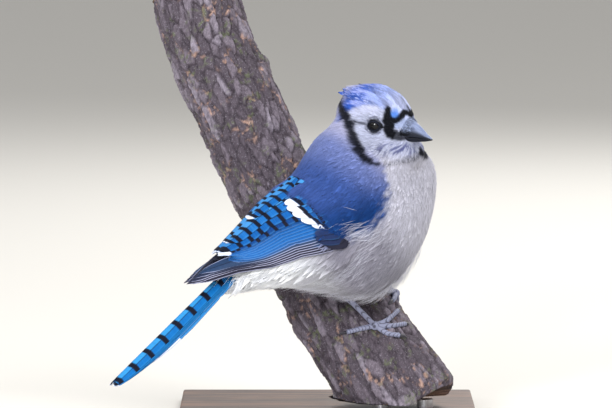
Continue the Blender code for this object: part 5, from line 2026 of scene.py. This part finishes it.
def make_lid(side, finish):
    deselect()
    bpy.ops.mesh.primitive_torus_add(
        major_segments=72, minor_segments=14, major_radius=1, minor_radius=RING_THICK
    )
    ring = bpy.context.object
    ring.name = "lids_right" if side < 0 else "lids_left"
    points = points_of(ring)
    turn = np.arctan2(points[:, 1], points[:, 0])
    outward = (np.hypot(points[:, 0], points[:, 1]) - 1) / RING_THICK
    rise = points[:, 2] / RING_THICK
    corner = 1 + 0.10 * np.abs(np.cos(turn)) ** 6
    forward = (LID_OPEN[0] * corner + LID_WIDE * (1 + outward)) * np.cos(turn)
    up = (LID_OPEN[1] + LID_WIDE * (1 + outward)) * np.sin(turn)
    beads = 0.05 * np.sin(turn * LID_BEADS) * (rise > 0)
    out = np.sqrt(np.maximum(EYE_RADIUS**2 - forward**2 - up**2, 4)) + 0.12 + rise * LID_THICK + beads
    move_points(ring, EYES[side].world(np.stack([forward, side * out, up], axis=1)))
    close_smoothly(ring)
    return dress(ring, finish, "eye")


EYE_FINISH = eye_finish()
LID_FINISH = lid_finish()
for side, name in EYE_SIDES:
    make_eye(side, name, EYE_FINISH)
    make_lid(side, LID_FINISH)
print("two eyes and their lids")

# %% [markdown]
# The bill is two cones of horn that close on one line, the upper one higher and wider, its ridge bent
# down to the tip. Each starts as a ball that is drawn out along the head, one flat side at the mouth
# line. Horn grows in long fibres, so its finish is streaked along the bill, slate on the upper half
# and nearly black on the lower.

# %% The bill
# place along the head and height of the nostril, and its half length and half height
NOSTRIL = (19.4, 0.4)
NOSTRIL_SIZE = (1.9, 0.75)
MOUTH_HEIGHT = -4.4


def half_bill(name, upper):
    def shape(share, angle, pole):
        place = BILL_OUTLINE[0, 0] + (BILL_OUTLINE[-1, 0] - BILL_OUTLINE[0, 0]) * share
        lip = eased(BILL_OUTLINE, place, 2) + (GAP / 4 if upper else -GAP / 4)
        reach = eased(BILL_OUTLINE, place, 1 if upper else 3) - lip
        half = eased(BILL_OUTLINE, place, 4)
        open_side = np.clip(np.sin(angle), 0, 1) ** 0.85
        across = half * np.cos(angle) * (1 if upper else 0.88)
        height = lip + reach * open_side
        height += np.where(np.sin(angle) < 0, 0.1 if upper else -0.1, 0)
        groove = 0.16 * np.exp(-((np.abs(across) - half * 0.86) / 0.4) ** 2) * (share < 0.8) * upper
        across = across * (1 - groove / np.maximum(half, 1))
        along, up = (place - NOSTRIL[0]) / NOSTRIL_SIZE[0], (height - NOSTRIL[1]) / NOSTRIL_SIZE[1]
        nostril = np.hypot(along, up)
        sunk = 0.8 * (1 - smoothstep(0.5, 1.1, nostril)) * upper * (np.sin(angle) > 0)
        across = across - np.sign(across) * sunk
        across = np.where(pole, 0, across)
        height = np.where(pole, lip + reach * 0.4, height)
        place = np.where(pole & (share > 0.5), place + 0.25, place)
        return HEAD.world(np.stack([place, across, height], axis=-1))

    return from_ball(name, 72, 110, shape)


def horn_finish(name, low, high, rough):
    finish = Finish(name, rough, Specular_IOR_Level=0.25)
    along, around, height = finish.split("bill")
    fibres = finish.noise(1.0, 4, finish.join(finish.times(along, 5), finish.times(around, 60)))
    patches = finish.noise(350, 3)
    share = finish.plus(finish.times(fibres, 0.6), finish.times(patches, 0.5))
    colour = finish.mix(finish.step(share, 0.25, 0.85), low, high)
    colour = finish.mix(finish.times(finish.step(along, 0.3, 1.0), 0.35), colour, low)
    # painted shade and highlight: each half of the bill darkens to near black towards the mouth line, so
    # that its top stays pale as if lit
    lip = finish.minus(1, finish.step(height, 0.25, 0.7))
    finish.colour(finish.mix(finish.times(lip, 0.97), colour, (0.004, 0.005, 0.01)))
    finish.bump(fibres, 0.00012, 0.5)
    return finish


def mark_bill(bill):
    local = HEAD.local(points_of(bill))
    along = (local[:, 0] - BILL_OUTLINE[0, 0]) / np.ptp(BILL_OUTLINE[:, 0])
    around = 0.5 + np.arctan2(local[:, 1], local[:, 2] - MOUTH_HEIGHT) / math.tau
    lip = eased(BILL_OUTLINE, local[:, 0], 2)
    height = np.abs(local[:, 2] - lip) / np.maximum(eased(BILL_OUTLINE, local[:, 0], 1) - lip, 0.6)
    keep_colours(bill, "bill", np.stack([along, around, height], axis=1))


UPPER_BILL = half_bill("upper_bill", True)
LOWER_BILL = half_bill("lower_bill", False)
for bill in (UPPER_BILL, LOWER_BILL):
    mark_bill(bill)
SLATE_HORN = horn_finish("slate_horn", shade(70, 80, 108), shade(148, 160, 194), 0.34)
BLACK_HORN = horn_finish("black_horn", shade(5, 7, 14), shade(26, 30, 44), 0.4)
dress(UPPER_BILL, SLATE_HORN, "bill", "bill_upper")
dress(LOWER_BILL, BLACK_HORN, "bill", "bill_lower")
print("bill:", len(triangles_of(UPPER_BILL)) + len(triangles_of(LOWER_BILL)), "triangles")

# %% [markdown]
# Legs and toes are thin, dry and scaled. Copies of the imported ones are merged, remeshed finely and
# ringed with low scutes: each point moves a little in or out by its distance from the middle of the
# foot, or along the shank. The claws are smooth black horn.

# %% Legs, feet and claws
FINE_VOXEL = 0.32
SCUTE = 1.25
SCUTE_HIGH = 0.1


def ringed_copy(node, start, direction=None):
    """A fine copy of a packed foot or leg with scute rings, counted from a start."""
    piece = packed_copy(node)
    piece.name = "scaled_" + node
    apply_modifier(piece, "fine", "REMESH", mode="VOXEL", voxel_size=FINE_VOXEL * MM)
    apply_modifier(piece, "soften", "SMOOTH", factor=0.5, iterations=7)
    points = points_of(piece) / MM
    if direction is None:
        along = np.linalg.norm(points - start, axis=1)
    else:
        along = (points - start) @ direction
    wave = np.abs(np.sin(math.pi * along / SCUTE)) ** 0.6
    rough = soft_noise(points, 1.1, 5.0) - 0.5
    move = SCUTE_HIGH * (wave - 0.6) + 0.09 * rough
    move_points(piece, (points + normals_of(piece) * move[:, None]) * MM)
    smooth_shading(piece)
    keep_colours(piece, "scute", np.repeat(wave[:, None], 3, axis=1))
    return piece


def scale_finish():
    finish = Finish("scaled_leg", 0.55, Specular_IOR_Level=0.4)
    wave = finish.attribute("scute")
    colour = finish.mix(finish.step(wave, 0.2, 0.75), shade(52, 52, 68), shade(136, 140, 166))
    patches = finish.noise(500, 3)
    finish.colour(finish.mix(finish.times(patches, 0.5), colour, shade(80, 80, 98)))
    finish.bump(finish.noise(1800, 3), 0.0001, 0.7)
    return finish


def claw_finish():
    finish = Finish("claw_horn", 0.3, Specular_IOR_Level=0.5)
    streaks = finish.noise(700, 3)
    finish.colour(finish.mix(streaks, shade(16, 16, 22), shade(66, 64, 74)))
    finish.bump(streaks, 0.0001, 0.4)
    return finish


def node_middle(node):
    low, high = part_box(node)
    return np.array((low + high) / 2) / MM


def make_feet():
    scales, horn = scale_finish(), claw_finish()
    for side in ("right", "left"):
        leg_low, leg_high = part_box("leg_" + side)
        shank = unit(np.array(leg_high - leg_low) * np.array((-1, 1, 1)))
        foot = node_middle("foot_" + side)
        dress(ringed_copy("foot_" + side, foot), scales, "leg", "foot_" + side)
        dress(ringed_copy("leg_" + side, foot, shank), scales, "leg", "leg_" + side)
        for number in range(1, 5):
            node = f"claw_{side}_{number}"
            claw = packed_copy(node)
            claw.name = "horn_" + node
            apply_modifier(claw, "round", "SUBSURF", levels=2, render_levels=2)
            smooth_shading(claw)
            dress(claw, horn, "claw", node)


make_feet()
print("legs, feet and eight claws")

# %% [markdown]
# The perch is a cut length of an old branch. Its bark is broken into long flakes that lift at their
# edges, with seams between them where fresh bark shows tan. The branch is a ball drawn out along the
# branch's curved axis; each point is then pushed in or out by the flake that it lies on. The same
# numbers colour it: dark in the seams, purplish grey on the flakes, paler where bark has come off.

# %% The branch's axis
PERCH_LINE = np.array((
    # height, place from left to right, radius
    (6, 56.5, 30.5),
    (20, 46.5, 30),
    (36, 35.5, 29),
    (54, 24, 28),
    (71, 12.5, 26),
    (95, -1, 25.3),
    (120, -14, 25.3),
    (148, -28, 25.5),
    (170, -38.2, 25.3),
    (190, -47.5, 25),
    (210, -56, 25),
    (242, -66.5, 25),
), float)
PERCH_LEAN = 0.35
PERCH_DEPTH_AT = (51, 6)
PERCH_FOOT = 12
PERCH_TOP = 236


def branch_axis(height):
    depth = PERCH_DEPTH_AT[1] + (height - PERCH_DEPTH_AT[0]) * PERCH_LEAN
    return np.stack([np.interp(height, PERCH_LINE[:, 0], PERCH_LINE[:, 1]), depth, height], axis=-1)


# %% Flakes of bark
KNOBS = (
    # height on the branch, angle round it in degrees, size and how far it stands out
    (186, 180, 7, 2.0),
    (62, 8, 8, 1.6),
    (24, 4, 8, 1.8),
    (128, 120, 6, 1.5),
)
SCARS = (
    # height on the branch, angle round it in degrees, size
    (178, -78, 8.5),
    (212, -35, 6),
    (150, -60, 5),
)
FLAKE_SIZE = 4.6
FLAKE_BEND = 3.0
# Blender's vector noise starts from the clock unless it is given a seed
BARK_SEED = 7


def bark_relief(angle, height, radius):
    """Height of the bark in millimetres, with the seam, flake and scar at each point."""
    noise.seed_set(BARK_SEED)
    wrap = np.stack([np.cos(angle) * radius, np.sin(angle) * radius, height * 0.42], axis=1)
    warp = np.array([noise.noise_vector(Vector(spot / 9)) for spot in wrap]) * FLAKE_BEND
    seam, flake = [], []
    for spot, bend in zip(wrap, warp):
        reach, centres = noise.voronoi(Vector((spot + bend) / FLAKE_SIZE))
        seam.append(reach[1] - reach[0])
        flake.append(noise.cell(centres[0] * 7.31))
    seam, flake = np.array(seam), np.array(flake)
    close = wrap * np.array((0.55, 0.55, 0.4))
    fine = np.array([noise.fractal(Vector(spot), 0.9, 2.1, 4) for spot in close])
    broad = noise_at(wrap / 16)
    ridge = 1 - smoothstep(0.0, 0.16, seam)
    lifted = smoothstep(0.10, 0.2, seam) * (1 - smoothstep(0.2, 0.45, seam))
    rise = 0.95 * (flake - 0.5) + 0.38 * lifted - 1.0 * ridge + 0.36 * fine + 0.6 * broad
    scar = np.zeros(len(angle))
    for place, turn, size in SCARS:
        far = np.hypot((height - place) * 0.8, angle_between(angle, turn) * radius) / size + 0.5 * fine
        scar = np.maximum(scar, 1 - smoothstep(0.75, 1.0, far))
    rise = rise * (1 - 0.7 * scar) - 0.7 * scar
    for place, turn, size, stand in KNOBS:
        far = np.hypot(height - place, angle_between(angle, turn) * radius) / size
        rise = rise + stand * np.exp(-(far**2) * 1.6)
    return rise, ridge, flake, scar


def angle_between(angle, degrees):
    turn = angle - math.radians(degrees)
    return np.abs((turn + math.pi) % math.tau - math.pi)


# %% The branch
BRANCH_SEGMENTS = 230
BRANCH_RINGS = 380


def make_branch():
    """The branch drawn out along its axis and cut level with the board below and square above."""
    kept = {}

    def shape(share, angle, pole):
        height = PERCH_FOOT - 10 + (PERCH_TOP + 12 - PERCH_FOOT + 10) * share
        high, low = np.maximum(height, 6) + 8, np.maximum(height, 14) - 8
        along = unit(branch_axis(high) - branch_axis(low))
        side = unit(np.cross(along, (0, 1, 0)))
        other = np.cross(along, side)
        radius = np.interp(height, PERCH_LINE[:, 0], PERCH_LINE[:, 2])
        rise, seam, flake, scar = bark_relief(angle, height, radius)
        wave = noise_at(np.stack([np.cos(angle) * 1.1, np.sin(angle) * 1.1, height / 45], axis=1))
        reach = (radius + 1.6 * wave + rise) * np.where(pole, 0, 1)
        outward = side * np.cos(angle)[:, None] + other * np.sin(angle)[:, None]
        point = branch_axis(height) + outward * reach[:, None]
        under = np.maximum(PERCH_FOOT - point[:, 2], 0)
        point = point + along * (under / along[:, 2])[:, None]
        top = branch_axis(np.array([PERCH_TOP]))[0]
        upwards = unit(top - branch_axis(np.array([PERCH_TOP - 20.0]))[0])
        over = np.maximum((point - top) @ upwards, 0)
        point = point - over[:, None] * upwards
        cut = (under > 0) | (over > 0)
        kept.update(seam=seam, flake=flake, scar=scar, cut=cut, reach=reach / radius)
        return (point + SHIFT) * MM

    branch = from_ball("bark_branch", BRANCH_SEGMENTS, BRANCH_RINGS, shape)
    paint_bark(branch, kept)
    return branch


BARK_DARK = shade(58, 50, 58)
BARK_MID = shade(106, 97, 108)
BARK_PALE = shade(148, 140, 154)
BARK_TAN = shade(172, 140, 126)
BARK_GREEN = shade(92, 100, 70)
BARK_SCAR = shade(178, 158, 150)
CUT_WOOD = shade(205, 178, 140)
CUT_RING = shade(150, 116, 82)


def paint_bark(branch, kept):
    points = points_of(branch) / MM
    flake = kept["flake"]
    colour = blend(BARK_MID, BARK_PALE, smoothstep(0.55, 1.0, flake) * 0.7)
    colour = blend(colour, BARK_DARK, smoothstep(0.45, 0.0, flake) * 0.65)
    patches = soft_noise(points, 11, 2.0)
    small = soft_noise(points, 2.2, 9.0)
    colour = blend(colour, BARK_DARK, smoothstep(0.5, 0.25, small) * 0.5)
    tan = kept["seam"] * smoothstep(0.5, 0.66, patches)
    colour = blend(colour, BARK_DARK, kept["seam"] * 0.85)
    colour = blend(colour, BARK_TAN, tan * smoothstep(0.45, 0.6, small))
    moss = smoothstep(0.56, 0.7, soft_noise(points, 7, 21.0)) * smoothstep(0.5, 0.62, small)
    colour = blend(colour, BARK_GREEN, moss * 0.6)
    colour = blend(colour, BARK_SCAR, kept["scar"] * (0.55 + 0.4 * small))
    rings = 0.5 + 0.5 * np.sin(kept["reach"] * 60 + 3 * patches)
    wood = blend(CUT_WOOD, CUT_RING, rings * 0.6)
    wood = blend(wood, BARK_DARK, smoothstep(0.93, 0.97, kept["reach"]))
    colour = blend(colour, wood, kept["cut"].astype(float))
    keep_colours(branch, "bark", np.clip(colour, 0, 1))


def bark_finish():
    finish = Finish("old_bark", 0.85, Specular_IOR_Level=0.25)
    colour = finish.attribute("bark")
    grain = finish.noise(1.0, 5, finish.object_place((900, 900, 420)))
    spots = finish.noise(260, 4)
    dark = finish.mix(0.5, colour, (0.02, 0.017, 0.022))
    share = finish.times(finish.step(grain, 0.62, 0.38), 0.6)
    colour = finish.mix(share, colour, dark)
    light = finish.mix(0.35, colour, (0.38, 0.36, 0.42))
    finish.colour(finish.mix(finish.step(spots, 0.55, 0.72), colour, light))
    finish.bump(finish.plus(grain, finish.times(spots, 0.8)), 0.0006, 0.9)
    return finish


BRANCH = dress(make_branch(), bark_finish(), "perch", "perch")
print("branch:", len(triangles_of(BRANCH)), "triangles")

# %% [markdown]
# The stand stays plain: an oiled walnut board and two short steel rods. These two shapes are right as
# they were packed, so they only get a finish. Wood is noise stretched along the board, twice, once for
# the rings and once for the pores; brushed steel is the same idea at a finer scale.


# %% Finishes of the stand
def walnut_finish():
    finish = Finish("oiled_walnut", 0.42, Coat_Weight=0.2, Coat_Roughness=0.25)
    rings = finish.noise(1.0, 4, finish.object_place((9, 110, 110)), 1.2)
    pores = finish.noise(1.0, 3, finish.object_place((90, 1500, 1500)))
    colour = finish.mix(finish.step(rings, 0.3, 0.72), shade(58, 38, 28), shade(120, 84, 60))
    pore = finish.times(finish.step(pores, 0.58, 0.7), 0.6)
    finish.colour(finish.mix(pore, colour, shade(32, 20, 14)))
    finish.rough(finish.math("MULTIPLY_ADD", pores, 0.25, 0.32))
    finish.bump(pores, 0.0002, 0.35)
    return finish


def steel_finish():
    finish = Finish("brushed_steel", 0.3, Metallic=1.0)
    lines = finish.noise(1.0, 3, finish.object_place((300, 300, 6000)))
    finish.colour(finish.mix(lines, shade(150, 150, 154), shade(196, 196, 200)))
    finish.rough(finish.math("MULTIPLY_ADD", lines, 0.25, 0.2))
    finish.bump(lines, 0.00005, 0.4)
    return finish


def dress_stand():
    wood, steel = walnut_finish(), steel_finish()
    for node, finish in (("stand_base", wood), ("stand_rod_1", steel), ("stand_rod_2", steel)):
        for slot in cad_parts[node].material_slots:
            slot.material = finish.material


dress_stand()
print("stand: walnut board and two steel rods")
